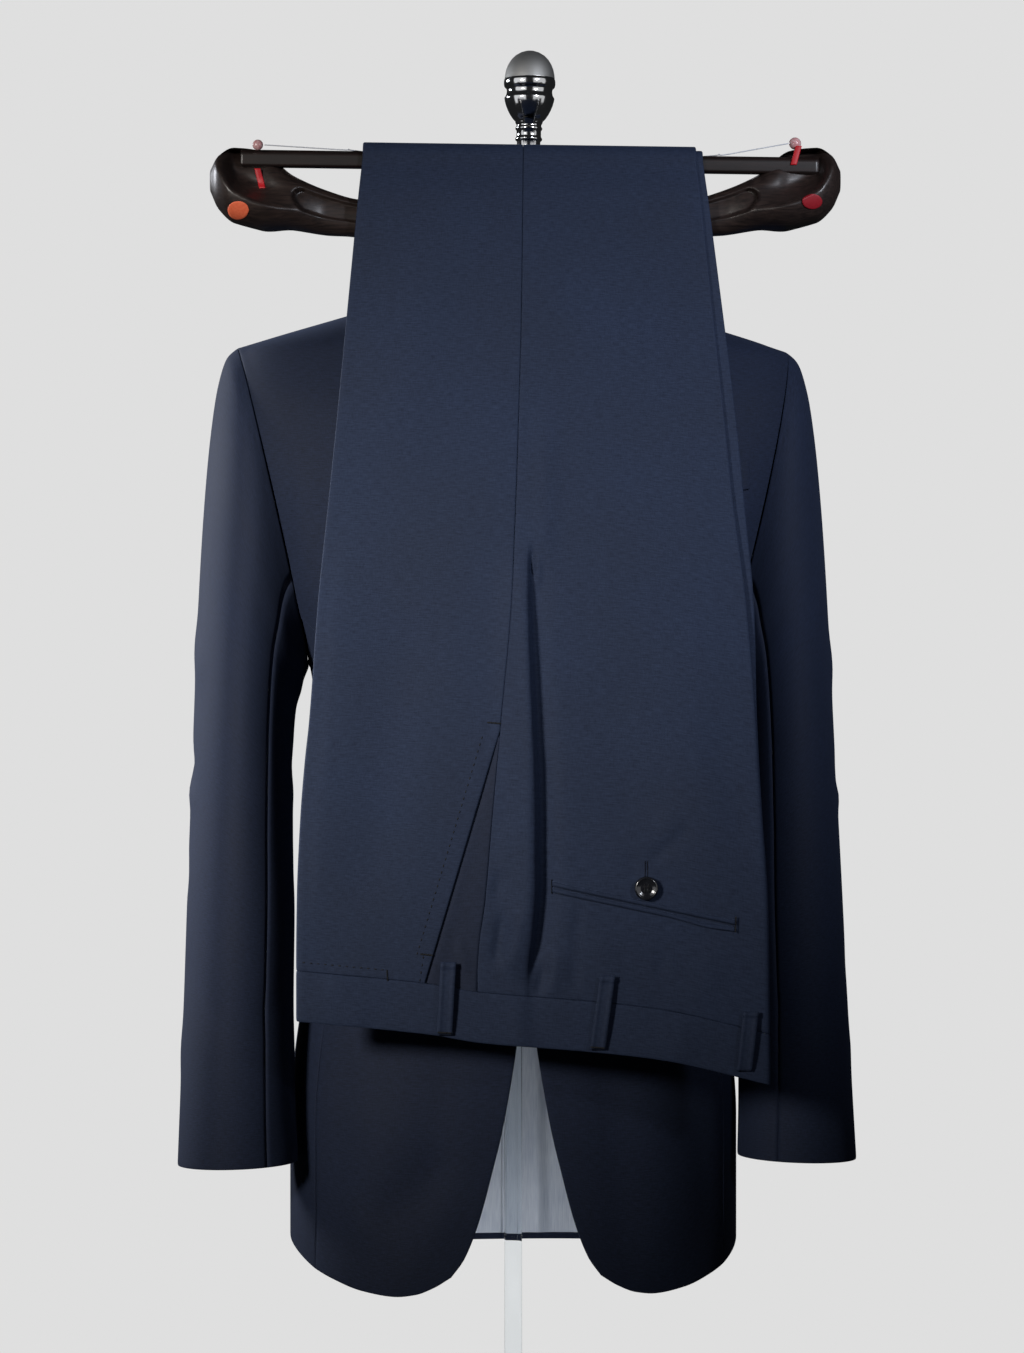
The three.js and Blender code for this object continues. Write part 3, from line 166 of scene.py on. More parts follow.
def make_floor():
    """A pale disc that fades into the surround."""
    mesh = bpy.data.meshes.new("floor")
    bm = bmesh.new()
    bmesh.ops.create_circle(bm, cap_ends=True, segments=96, radius=FLOOR_RADIUS)
    bm.to_mesh(mesh)
    bm.free()
    floor = link_object(bpy.data.objects.new("floor", mesh))
    material = bpy.data.materials.new("pale_floor")
    material.use_nodes = True
    tree = material.node_tree
    tree.nodes.clear()
    place = add(tree, "ShaderNodeTexCoord").outputs["Object"]
    away = add(tree, "ShaderNodeVectorMath", {0: place}, operation="LENGTH").outputs["Value"]
    ranges = {"Value": away, "From Min": FLOOR_CLEAR, "From Max": FLOOR_GONE}
    fade = add(tree, "ShaderNodeMapRange", ranges, interpolation_type="SMOOTHSTEP")
    pale = add(tree, "ShaderNodeBsdfDiffuse", {"Color": srgb("#e9e9e9")})
    clear = add(tree, "ShaderNodeBsdfTransparent")
    inputs = {0: fade.outputs["Result"], 1: pale.outputs[0], 2: clear.outputs[0]}
    mix = add(tree, "ShaderNodeMixShader", inputs)
    add(tree, "ShaderNodeOutputMaterial", {"Surface": mix.outputs[0]})
    mesh.materials.append(material)


make_camera()
make_world()
make_lights()
make_floor()
bpy.context.scene.view_settings.view_transform = "Standard"


# ------------------------------------------------------------ materials

def finish(name, base, roughness, metallic=0.0, **sockets):
    """A Principled material; base and bump may come from the nodes that a caller adds."""
    material = bpy.data.materials.new(name)
    material.use_nodes = True
    tree = material.node_tree
    shader = tree.nodes["Principled BSDF"]
    shader.inputs["Base Color"].default_value = srgb(base)
    shader.inputs["Roughness"].default_value = roughness
    shader.inputs["Metallic"].default_value = metallic
    for socket, value in sockets.items():
        shader.inputs[socket.replace("_", " ")].default_value = value
    return material, tree, shader


def blend(tree, share, dark, light):
    """A colour between two hex colours by a share from another socket."""
    node = add(tree, "ShaderNodeMix", {0: share}, data_type="RGBA")
    node.inputs[6].default_value = srgb(dark)
    node.inputs[7].default_value = srgb(light)
    return node.outputs[2]


def cloth_place(tree):
    """Metres across and along the cloth, from its own map."""
    return add(tree, "ShaderNodeUVMap", uv_map="cloth").outputs["UV"]


def object_place(tree):
    return add(tree, "ShaderNodeTexCoord").outputs["Object"]


def drawn_out(tree, place, scale):
    """The same place, drawn out along the axes whose scale is small."""
    return add(tree, "ShaderNodeMapping", {"Vector": place, "Scale": scale}).outputs[0]


def noise(tree, place, scale, detail, **more):
    inputs = {"Vector": place, "Scale": scale, "Detail": detail, **more}
    return add(tree, "ShaderNodeTexNoise", inputs).outputs["Fac"]


def remap(tree, value, low, high, new_low=0.0, new_high=1.0):
    ranges = {"From Min": low, "From Max": high, "To Min": new_low, "To Max": new_high}
    return add(tree, "ShaderNodeMapRange", {"Value": value, **ranges}).outputs["Result"]


def bumped(tree, shader, height, strength, distance):
    inputs = {"Height": height, "Strength": strength, "Distance": distance}
    bump = add(tree, "ShaderNodeBump", inputs).outputs["Normal"]
    tree.links.new(bump, shader.inputs["Normal"])


def worsted(name, dark, light, pitch_mm, patch):
    """Worsted wool, a fine plain weave of dyed yarns: short uneven flecks along both threads,
    a soft dry sheen and a slightly clouded tone."""
    material, tree, shader = finish(
        name, dark, 0.78, Sheen_Weight=0.11, Sheen_Roughness=0.45, Specular_IOR_Level=0.28
    )
    shader.inputs["Sheen Tint"].default_value = srgb("#9db4ea")
    place = cloth_place(tree)
    flecks = []
    for scale in ((0.13, 1, 1), (1, 0.2, 1)):
        yarn = drawn_out(tree, place, scale)
        flecks.append(noise(tree, yarn, 1 / (pitch_mm * MM), 2.0, Roughness=0.6))
    inputs = {0: flecks[1], 1: 0.55, 2: flecks[0]}
    tone = add(tree, "ShaderNodeMath", inputs, operation="MULTIPLY_ADD").outputs[0]
    colour = blend(tree, remap(tree, tone, 0.48, 1.07), dark, light)
    cloud = noise(tree, place, patch, 3.0)
    inputs = {"Color": colour, "Value": remap(tree, cloud, 0.3, 0.7, 0.9, 1.1)}
    final = add(tree, "ShaderNodeHueSaturation", inputs).outputs["Color"]
    tree.links.new(final, shader.inputs["Base Color"])
    bumped(tree, shader, tone, 0.3, 0.0003)
    tree.links.new(remap(tree, cloud, 0.0, 1.0, 0.72, 0.86), shader.inputs["Roughness"])
    return material


def satin(name, base, light):
    """Viscose lining: smooth, with a silky sheen along its warp."""
    material, tree, shader = finish(
        name, base, 0.38, Sheen_Weight=0.3, Sheen_Roughness=0.3, Specular_IOR_Level=0.5
    )
    place = cloth_place(tree)
    warp = noise(tree, drawn_out(tree, place, (1, 0.06, 1)), 900.0, 2.0)
    soft = noise(tree, place, 22.0, 2.0)
    both = add(tree, "ShaderNodeMath", {0: warp, 1: soft}, operation="ADD").outputs[0]
    colour = blend(tree, remap(tree, both, 0.7, 1.3), base, light)
    tree.links.new(colour, shader.inputs["Base Color"])
    bumped(tree, shader, warp, 0.15, 0.0002)
    return material


def stained_wood(name, dark, light, grain_mm, rough):
    """Beech stained nearly black under satin lacquer: long grain lines and a soft gloss."""
    material, tree, shader = finish(
        name, dark, rough, Coat_Weight=0.35, Coat_Roughness=0.28, Specular_IOR_Level=0.45
    )
    grain = drawn_out(tree, object_place(tree), (0.06, 1, 1))
    lines = noise(tree, grain, 1 / (grain_mm * MM), 5.0, Roughness=0.62)
    colour = blend(tree, remap(tree, lines, 0.35, 0.68), dark, light)
    tree.links.new(colour, shader.inputs["Base Color"])
    bumped(tree, shader, lines, 0.25, 0.0004)
    return material


def turned_metal(name, base, rough, mark_mm, matte_above=9.0):
    """Cast and turned metal: fine rings from the lathe and a slightly clouded polish. Above a
    height in metres it is left matte from the mould."""
    material, tree, shader = finish(name, base, rough, 1.0)
    place = object_place(tree)
    lines = noise(tree, drawn_out(tree, place, (0.05, 0.05, 1)), 1 / (mark_mm * MM), 3.0)
    cloud = noise(tree, place, 60.0, 3.0)
    height = add(tree, "ShaderNodeSeparateXYZ", {0: place}).outputs["Z"]
    matte = remap(tree, height, matte_above, matte_above + 0.0004)
    polish = remap(tree, cloud, 0.0, 1.0, rough * 0.7, rough * 1.3)
    spread = remap(tree, matte, 0.0, 1.0, polish, 0.62)
    tree.links.new(spread, shader.inputs["Roughness"])
    tree.links.new(blend(tree, matte, base, "#a6a6a4"), shader.inputs["Base Color"])
    bumped(tree, shader, lines, 0.12, 0.0002)
    return material


def moulded(name, base, light, rough, cloud_mm=6.0, coat=0.0):
    """Cast or moulded plastic, rubber or paper: a faint mottle in colour and gloss."""
    material, tree, shader = finish(name, base, rough, Coat_Weight=coat)
    cloud = noise(tree, object_place(tree), 1 / (cloud_mm * MM), 4.0)
    tree.links.new(blend(tree, cloud, base, light), shader.inputs["Base Color"])
    bumped(tree, shader, cloud, 0.08, 0.0003)
    return material


def cast_acrylic(name):
    """Cast acrylic, flame-polished: clear with a faint cool edge."""
    material, tree, shader = finish(name, "#f4f8fa", 0.03, Transmission_Weight=1.0, IOR=1.12)
    cloud = noise(tree, object_place(tree), 40.0, 2.0)
    tree.links.new(remap(tree, cloud, 0.0, 1.0, 0.02, 0.05), shader.inputs["Roughness"])
    return material


def jersey(name, base, light):
    """Cotton jersey over padding: fine knit ribs and a dry surface."""
    material, tree, shader = finish(name, base, 0.9, Sheen_Weight=0.3)
    inputs = {"Vector": object_place(tree), "Scale": 120.0, "Distortion": 1.2, "Detail": 2.0}
    ribs = add(tree, "ShaderNodeTexWave", inputs, bands_direction="X").outputs["Fac"]
    tree.links.new(blend(tree, ribs, base, light), shader.inputs["Base Color"])
    bumped(tree, shader, ribs, 0.3, 0.0004)
    return material


JACKET_WOOL = worsted("jacket_worsted_wool", "#131b2c", "#212b43", 0.9, 9.0)
TROUSER_WOOL = worsted("trouser_worsted_wool", "#192338", "#2b3750", 0.9, 11.0)
FACING_WOOL = worsted("pocket_facing_wool", "#151d2f", "#242d43", 0.9, 14.0)
# The lining's two colours are painted much lighter than the viscose itself: painted light for the
# inside of the back, which lies in shade.
LINING_PAINTED_LIGHT = satin("viscose_lining_painted_light", "#c3cddb", "#e4ebf3")
WENGE = stained_wood("dark_stained_beech", "#1b1413", "#382c28", 1.6, 0.46)
BAR_WOOD = stained_wood("red_brown_stained_beech", "#100806", "#22120e", 1.2, 0.5)
SILVER = turned_metal("polished_cast_metal", "#d9d9d9", 0.12, 0.5, 1.0772)
STEEL = turned_metal("drawn_steel_wire", "#b9b9b9", 0.25, 0.4)
HORN = moulded("polyester_horn_button", "#0d0e12", "#24262c", 0.16, 3.0, 0.8)
RUBBER = moulded("red_rubber_tie", "#b3121c", "#d4202c", 0.5)
BEAD = moulded("red_glass_bead", "#c2202a", "#e8e0e0", 0.2, 1.5, 0.6)
ORANGE_PAPER = moulded("orange_paper_disc", "#ee5a3c", "#ff8a5c", 0.6, 2.0)
CRIMSON_PAPER = moulded("crimson_paper_disc", "#8c121e", "#a51c29", 0.55, 2.0)
NYLON = moulded("clear_nylon_thread", "#c9ced8", "#eef1f6", 0.25, 4.0, 0.3)
SILK = moulded("dark_silk_thread", "#06070b", "#10131b", 0.7, 1.0)
JERSEY = jersey("form_jersey", "#b9b2a4", "#d3ccbf")
ACRYLIC = cast_acrylic("cast_acrylic")


# ------------------------------------------------------------ small maths

def lerp(a, b, t):
    return a + (b - a) * t


def smooth(t):
    t = np.clip(t, 0, 1)
    return t * t * (3 - 2 * t)


def bell(d, half):
    return np.exp(-((d / half) ** 2))


def points(x, y, z):
    return np.stack(np.broadcast_arrays(x, y, z), axis=-1).astype(float)


def unit(v):
    return v / np.maximum(np.linalg.norm(v, axis=-1, keepdims=True), 1e-12)


def rows(columns, *values):
    """A table with named columns, one tuple for each row."""
    return {name: np.array(column, float) for name, column in zip(columns.split(), zip(*values))}


def look(table, key, column, at):
    """A column at a place on its key column, by a monotone cubic through the rows."""
    x, y = table[key], table[column]
    at = np.clip(np.asarray(at, float), x[0], x[-1])
    i = np.clip(np.searchsorted(x, at, side="right") - 1, 0, len(x) - 2)
    h = np.diff(x)
    slope = np.diff(y) / h
    a, b = slope[:-1], slope[1:]
    total = np.where(a * b <= 0, 1, a + b)
    inner = np.where(a * b <= 0, 0, 2 * a * b / total)
    tangent = np.concatenate([slope[:1], inner, slope[-1:]])
    t = (at - x[i]) / h[i]
    return (
        y[i] * (1 + 2 * t) * (1 - t) ** 2
        + tangent[i] * h[i] * t * (1 - t) ** 2
        + y[i + 1] * t * t * (3 - 2 * t)
        + tangent[i + 1] * h[i] * t * t * (t - 1)
    )


def creases(table, across, along):
    """Soft troughs and ridges: each row is a line on the cloth with a half width and a height."""
    total = np.zeros(np.broadcast(across, along).shape)
    for x0, z0, x1, z1, half, high in zip(*(table[k] for k in "x0 z0 x1 z1 half high".split())):
        dx, dz = x1 - x0, z1 - z0
        t = ((across - x0) * dx + (along - z0) * dz) / (dx * dx + dz * dz)
        away = ((across - x0) * dz - (along - z0) * dx) / math.hypot(dx, dz)
        ends = smooth((t + 0.12) / 0.35) * smooth((1.12 - t) / 0.35)
        total += high * bell(away, half) * ends
    return total


# ------------------------------------------------------------ making meshes

def mesh_object(name, places, faces, material, map_uv=None, smooth_faces=True):
    """A mesh in metres from points in millimetres; map_uv is one pair for each point."""
    mesh = bpy.data.meshes.new(name)
    flat = np.ascontiguousarray(places.reshape(-1, 3) * MM, dtype=np.float32)
    faces = np.ascontiguousarray(faces, dtype=np.int32)
    corners = faces.shape[1]
    mesh.vertices.add(len(flat))
    mesh.vertices.foreach_set("co", flat.ravel())
    mesh.loops.add(faces.size)
    mesh.loops.foreach_set("vertex_index", faces.ravel())
    mesh.polygons.add(len(faces))
    mesh.polygons.foreach_set("loop_start", np.arange(0, faces.size, corners, dtype=np.int32))
    mesh.polygons.foreach_set("loop_total", np.full(len(faces), corners, dtype=np.int32))
    mesh.polygons.foreach_set("use_smooth", np.full(len(faces), smooth_faces))
    mesh.update(calc_edges=True)
    mesh.validate()
    if map_uv is not None:
        layer = mesh.uv_layers.new(name="cloth")
        used = np.empty(len(mesh.loops), dtype=np.int32)
        mesh.loops.foreach_get("vertex_index", used)
        layer.data.foreach_set("uv", map_uv.reshape(-1, 2)[used].astype(np.float32).ravel())
    mesh.materials.append(material)
    return link_object(bpy.data.objects.new(name, mesh))


def settle(obj, node_names):
    """Rides a finished piece on the one body and hides the CAD nodes it stands for."""
    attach(obj, "root")
    if node_names:
        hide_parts(*node_names)
    return obj


def grid_normal(grid):
    along = np.gradient(grid, axis=0)
    up = np.gradient(grid, axis=1)
    return unit(np.cross(along, up))


def run_along(line):
    """Millimetres along a line of points, from its start."""
    return np.append(0, np.cumsum(np.linalg.norm(np.diff(line, axis=0), axis=-1)))


def spans(grid):
    """Metres across and along a grid of points, measured along its middle lines."""
    m, n = grid.shape[:2]
    u, v = run_along(grid[:, n // 2]) * MM, run_along(grid[m // 2]) * MM
    return np.stack(np.meshgrid(u, v, indexing="ij"), axis=-1)


EDGE_REACH = 0.9  # how far in a turned edge is rounded


def shell(grid, thickness, flip, soft_edge=0.0):
    """Points and faces of a thin closed wall under a grid of outer points. soft_edge rounds the
    outer face over at its four edges, as a turned seam is."""
    normal = grid_normal(grid) * flip
    m, n = grid.shape[:2]
    if soft_edge:
        u, v = run_along(grid[:, n // 2]), run_along(grid[m // 2])
        near = np.minimum(
            np.minimum(u, u[-1] - u)[:, None], np.minimum(v, v[-1] - v)[None, :]
        )
        rounded = (soft_edge * np.exp(-near / EDGE_REACH))[..., None]
        grid = grid - normal * rounded
        thickness = thickness - rounded
    inner = grid - normal * thickness
    index = np.arange(m * n).reshape(m, n)
    under = index + m * n

    def quads(a, b, c, d):
        return np.stack([a.ravel(), b.ravel(), c.ravel(), d.ravel()], axis=-1)

    outer = quads(index[:-1, :-1], index[1:, :-1], index[1:, 1:], index[:-1, 1:])
    below = quads(under[:-1, 1:], under[1:, 1:], under[1:, :-1], under[:-1, :-1])
    rims = [
        quads(index[1:, 0], index[:-1, 0], under[:-1, 0], under[1:, 0]),
        quads(index[:-1, -1], index[1:, -1], under[1:, -1], under[:-1, -1]),
        quads(index[0, :-1], index[0, 1:], under[0, 1:], under[0, :-1]),
        quads(index[-1, 1:], index[-1, :-1], under[-1, :-1], under[-1, 1:]),
    ]
    faces = np.concatenate([outer, below, *rims])
    if flip < 0:
        faces = faces[:, ::-1]
    uv = spans(grid)
    return np.concatenate([grid.reshape(-1, 3), inner.reshape(-1, 3)]), faces, np.stack([uv, uv])


EDGE_STEPS = np.array([0.5, 1.2, 2.4])  # a grid's first rows in from an edge


def spread(low, high, step, edges=True):
    """Places from low to high about a step apart, closer together at the two edges."""
    count = max(3, math.ceil((high - low) / step))
    places = np.linspace(low, high, count + 1)
    if edges:
        places = np.concatenate([places, low + EDGE_STEPS, high - EDGE_STEPS])
    return np.unique(places)


def shares(length, step):
    """Shares from 0 to 1 of a length in millimetres, closer together at the two ends."""
    return spread(0, length, step) / length


NARROWEST = 0.01  # metres, a jet's strip with the edge that is turned under


def cut_size(grid):
    """The flat width and length of a cut piece in metres, and its area, along its own threads."""
    wide = np.linalg.norm(np.diff(grid, axis=0), axis=-1).sum(axis=0).max() * MM
    long = np.linalg.norm(np.diff(grid, axis=1), axis=-1).sum(axis=1).max() * MM
    a, b = grid[1:, 1:] - grid[:-1, :-1], grid[1:, :-1] - grid[:-1, 1:]
    area = 0.5 * np.linalg.norm(np.cross(a, b), axis=-1).sum() * MM**2
    return round(float(wide), 3), round(float(long), 3), float(area)


def cloth(name, grid, thickness, flip, material, nodes, soft_edge=0.35):
    """One cut piece of cloth as a thin closed shell; the size it was cut to is worked out but not
    used.
    """
    places, faces, uv = shell(grid, thickness, flip, soft_edge)
    obj = settle(mesh_object(name, places, faces, material, uv), nodes)
    wide, long, area = cut_size(grid)
    wide, long = max(wide, NARROWEST), max(long, NARROWEST)
    area = min(area, wide * long)
    return obj


def closed_loft(name, rings, material, nodes, hubs=None):
    """A solid through closed rings of equally many points, each end closed round a hub."""
    m, n = rings.shape[:2]
    hubs = rings[[0, -1]].mean(axis=1) if hubs is None else hubs
    places = np.concatenate([rings.reshape(-1, 3), hubs])
    index = np.arange(m * n).reshape(m, n)
    after = np.roll(index, -1, axis=1)
    walls = np.stack([index[:-1], after[:-1], after[1:], index[1:]], axis=-1).reshape(-1, 4)
    faces = walls.tolist()
    faces += [[m * n, b, a] for a, b in zip(index[0], after[0])]
    faces += [[m * n + 1, a, b] for a, b in zip(index[-1], after[-1])]
    mesh = bpy.data.meshes.new(name)
    mesh.from_pydata((places * MM).tolist(), [], faces)
    bm = bmesh.new()
    bm.from_mesh(mesh)
    bmesh.ops.recalc_face_normals(bm, faces=bm.faces)
    bm.to_mesh(mesh)
    bm.free()
    mesh.shade_smooth()
    mesh.materials.append(material)
    return settle(link_object(bpy.data.objects.new(name, mesh)), nodes)


def unmoved(places):
    return places


def revolve(name, profile, segments, material, nodes, turn=unmoved):
    """A turned piece from radii and heights in millimetres; turn places its points."""
    angle = np.linspace(0, 2 * math.pi, segments, endpoint=False)
    radius, height = np.array(profile, float)[:, :, None].swapaxes(0, 1)
    rings = points(radius * np.cos(angle), radius * np.sin(angle), height)[1:-1]
    hubs = points(0, 0, height[[0, -1], 0])
    return closed_loft(name, turn(rings), material, nodes, turn(hubs))


def finer(table, step):
    """A turned profile with more points, kept where the table has a sharp corner."""
    out = [table[0]]
    for (r0, z0), (r1, z1) in zip(table[:-1], table[1:]):
        count = max(1, int(math.hypot(r1 - r0, z1 - z0) / step))
        out += [(lerp(r0, r1, k / count), lerp(z0, z1, k / count)) for k in range(1, count + 1)]
    return out


# ------------------------------------------------------------ the jacket's form

CLOTH = 1.8
SEWN = 0.12  # what shows between two edges sewn together
YAW = math.radians(5)  # the form stands turned a little
SQUARE = 2.4  # how square the body's section is
POWER = 2 / SQUARE
SEAM = 0.4
CLEAR = 1.2  # between pieces that lie on each other
LAP = 3.4  # the left front stands off the right where it laps over it
LAP_X, LAP_FADE_X, LAP_LOW_Z, LAP_HIGH_Z, LAP_FADE_Z = 36, 34, 330, 660, 60
TURN = 1.5  # how late the side seams turn to the armpit
CELL = 4.5  # one step of the jacket's grids
HEM_SIDE_Z, HEM_BACK_Z, ARMPIT_Z, TIP_Z, NECK_Z = 138, 133, 607, 860, 901
TIP_X, NECK_X, ARMPIT_X = 220, 82, 162
ARMHOLE_FRONT, ARMHOLE_BACK = 72, 66
SIDE_SEAM_Q, BACK_SEAM_Q = 0.69, 1.4
SIDE_SEAM_TOP_Z, BACK_SEAM_TOP_Z = 645, 690
SIDE_RISE = 18
HALF_ROUND = 235  # from the centre front or back round to the side
SLEEVE_ROUND = 75  # the sleeve's mean half width, for its gaps
NECK_END_Z = 868  # where the collar ends on the front
STAND_IN, STAND_OUT, COLLAR_FOLD = 5.5, 0.5, 3.2
WELT_WIDE, WELT_HIGH = 59, 22

# The body's half width at the side and its reach to the front and the back.
BODY = rows(
    "z side front back",
    (118, 178, 120, 114),
    (250, 178, 120, 113),
    (360, 166, 118, 103),
    (450, 151, 116, 93),
    (530, 153, 122, 99),
    (607, 162, 130, 110),
    (700, 184, 129, 114),
    (800, 206, 110, 108),
    (860, 220, 80, 88),
    (901, 82, 54, 60),
)
# The front's edge, which is cut away towards the hem, and how far the hem drops along it.
FRONT_EDGE = rows(
    "z x",
    (138, 58), (152, 48), (180, 37), (217, 27), (250, 19), (313, 8), (360, 2), (420, -8),
    (470, -16), (510, -16), (560, 2), (640, 24), (720, 42), (800, 57), (860, 68), (901, 74),
)
FRONT_HEM = rows(
    "share drop", (0, 0), (0.09, 8), (0.2, 14), (0.32, 16), (0.55, 13), (0.8, 6), (1, 0)
)
# The sleeve's rings: outer and inner side, then y of its front, back and middle.
SLEEVE = rows(
    "ox oz ix iz front back mid",
    (220, 860, 162.8, 607, -72, 66, 0),
    (228, 852, 164.6, 603, -75, 69, 0),
    (235, 830, 167, 597, -78, 73, -1),
    (241, 790, 169, 588, -80, 76, -2),
    (246, 735, 173, 574, -81, 76, -3),
    (250, 670, 175, 552, -82, 72, -5),
    (253, 600, 176, 520, -84, 64, -10),
    (256, 520, 176, 474, -87, 52, -18),
    (259, 440, 175, 416, -91, 38, -27),
    (262, 350, 176, 340, -95, 22, -37),
    (265, 270, 175, 270, -98, 6, -46),
    (267, 219, 173, 222, -100, -6, -53),
)
SLEEVE["row"] = np.arange(12.0)
SLEEVE_FRONT_SEAM = math.radians(118)
SLEEVE_BACK_SEAM = math.radians(-110)
# The collar from the centre back (0) past the shoulder (1) to its end on the front (2): how
# high its stand rises, and where its outer edge lies.
COLLAR = rows(
    "at rise x z",
    (0, 34, 0, 866),
    (0.5, 33, 52, 870),
    (0.8, 30, 88, 886),
    (0.9, 28.5, 97, 892),
    (1, 27, 104, 894.4),
    (1.15, 25, 110, 887),
    (1.35, 21, 112, 868),
    (1.65, 14, 108, 846),
    (2, 6, 97, 828),
)
LAPEL = rows("z x", (562, 8), (590, 44), (640, 70), (720, 100), (790, 118))
LAPEL_LOW_Z, LAPEL_NOTCH_Z, LAPEL_TOP_Z = 562, 790, 864


# Drape of the jacket: lines on the cloth in the jacket's x and z, half width and height.
FRONT_DRAPE = {
    -1: rows(
        "x0 z0 x1 z1 half high",
        (118, 800, 128, 640, 16, 2.0),
        (150, 780, 150, 650, 12, -2.2),
        (172, 760, 168, 640, 9, 1.6),
        (60, 236, 116, 186, 15, -2.6),
        (104, 262, 130, 170, 18, 2.2),
        (62, 200, 96, 146, 16, 1.8),
        (140, 330, 150, 150, 16, -1.6),
        (62, 320, 84, 140, 16, -1.4),
    ),
    1: rows(
        "x0 z0 x1 z1 half high",
        (122, 790, 134, 640, 16, 2.0),
        (152, 775, 152, 655, 12, -2.4),
        (174, 750, 168, 645, 9, 1.8),
        (98, 310, 112, 150, 20, 2.2),
        (134, 340, 150, 160, 15, -1.8),
        (60, 330, 78, 145, 15, -1.2),
    ),
}
BACK_DRAPE = rows(
    "x0 z0 x1 z1 half high",
    (60, 820, 110, 700, 18, 1.6),
    (130, 760, 120, 600, 14, -2.4),
    (150, 720, 150, 610, 10, 2.0),
    (30, 480, 120, 455, 14, -1.8),
    (40, 440, 130, 425, 12, 1.6),
    (50, 300, 60, 150, 22, 1.8),
    (100, 320, 116, 150, 18, -1.8),
)


def shaped(value):
    """Rounds a section's sine or cosine towards a squarer oval."""
    return np.sign(value) * np.abs(value) ** POWER


def armhole(z, back):
    """Where the body ends at the armhole, or at the side below the armpit."""
    reach = np.where(back, ARMHOLE_BACK, ARMHOLE_FRONT)
    half = (TIP_Z - ARMPIT_Z) / 2
    height = np.clip((z - ARMPIT_Z - half) / half, -1, 1)
    shoulder = lerp(TIP_X, NECK_X, (z - TIP_Z) / (NECK_Z - TIP_Z))
    arm = lerp(ARMPIT_X, TIP_X, (z - ARMPIT_Z) / (TIP_Z - ARMPIT_Z))
    x = np.where(z <= ARMPIT_Z, look(BODY, "z", "side", z), np.where(z >= TIP_Z, shoulder, arm))
    y = np.where((z > ARMPIT_Z) & (z < TIP_Z), reach * np.sqrt(1 - height**2), 0)
    return x, y


def section(z, back):
    reach = np.where(back, look(BODY, "z", "back", z), look(BODY, "z", "front", z))
    x, y = armhole(z, back)
    end = np.arccos(np.minimum(1, y / reach) ** (SQUARE / 2))
    return x / shaped(np.sin(end)), reach, end


def body_point(side, q, z):
    """The jacket's outer face: q is 0 at the centre front, 1 at the side and 2 at the back."""
    q, z = np.broadcast_arrays(np.asarray(q, float), np.asarray(z, float))
    back = q > 1
    width, reach, end = section(z, back)
    angle = np.where(back, 2 - q, q) * end
    y = np.where(back, 1, -1) * reach * shaped(np.cos(angle))
    return points(side * width * shaped(np.sin(angle)), y, z)


def place_of(x, z, back):
    width, _, end = section(z, back)
    share = np.sign(x) * np.minimum(1, np.abs(x / width)) ** (1 / POWER)
    q = np.arcsin(share) / end
    return np.where(back, 2 - q, q)


def draped(side, point, table):
    """Moves points of the body out or in by the soft creases of a table."""
    height = creases(table, point[..., 0] * side, point[..., 2])
    reach = np.maximum(np.hypot(point[..., 0], point[..., 1]), 1)
    point[..., :2] *= (1 + height / reach)[..., None]
    return point


def front_face(side, q, z):
    point = draped(side, body_point(side, q, z), FRONT_DRAPE[side])
    if side > 0:
        near = smooth((LAP_X - point[..., 0]) / LAP_FADE_X)
        tall = smooth((LAP_HIGH_Z - z) / LAP_FADE_Z)
        point[..., 1] -= LAP * near * tall * smooth((z - LAP_LOW_Z) / LAP_FADE_Z)
    return point


def off_body(side, x, z, back, out):
    """Points at x and z, moved straight out from the jacket's outer face."""

    def face(dx, dz):
        return front_face(side, place_of(x + dx, z + dz, back), z + dz)

    d = 0.5
    normal = unit(np.cross(face(d, 0) - face(-d, 0), face(0, d) - face(0, -d)))
    wrong = (normal[..., 1] > 0) != back
    normal = np.where(wrong[..., None], -normal, normal)
    return face(0, 0) + normal * np.asarray(out)[..., None]


def seam_at(z, low, top):
    return lerp(low, 1, np.clip((z - ARMPIT_Z) / (top - ARMPIT_Z), 0, 1) ** TURN)


def turned_form(grid):
    """From the jacket's own frame into the part's, where the form is turned a little."""
    c, s = math.cos(YAW), math.sin(YAW)
    x, y, z = np.moveaxis(grid, -1, 0)
    return points(x * c - y * s, x * s + y * c, z)


def raised(grid, flip, height):
    """Moves a grid out along its normals by a height field in millimetres."""
    return grid + grid_normal(grid) * flip * height[..., None]


SLEEVE_DRAPE = rows(
    "x0 z0 x1 z1 half high",
    (-70, 560, 30, 520, 12, -2.0),
    (-60, 520, 40, 500, 9, 1.5),
    (-80, 470, 10, 440, 12, -1.8),
    (-40, 640, 50, 600, 16, 1.6),
    (-95, 610, -30, 555, 10, -1.4),
    (20, 380, 90, 330, 14, -1.2),
    (-60, 330, 20, 300, 16, 1.0),
)


def z_steps(low, breaks):
    """Heights that crowd where the shoulder turns over: pairs of a height and a step up to it."""
    out, at = [], low
    for top, step in breaks:
        out.append(spread(at, top, step, edges=False))
        at = top
    return np.unique(np.concatenate([*out, low + EDGE_STEPS]))


SHOULDER_STEPS = ((820, 4.5), (852, 2.2), (860, 0.9), (900.6, 1.3))


def rounded_shoulder(grid, z, share):
    """Rounds the body over at the shoulder's ridge; the armhole and the neck stay in place."""
    reach = 13
    weights = np.exp(-(np.arange(-reach, reach + 1) / 6.5) ** 2)
    padded = np.concatenate([grid[:, :1]] * reach + [grid] + [grid[:, -1:]] * reach, axis=1)
    count = grid.shape[1]
    parts = [w * padded[:, k : k + count] for k, w in enumerate(weights)]
    soft = sum(parts) / weights.sum()
    amount = smooth((z - 818) / 26) * smooth((899 - z) / 22) * smooth((1 - share) / 0.12)
    return lerp(grid, soft, amount[..., None])


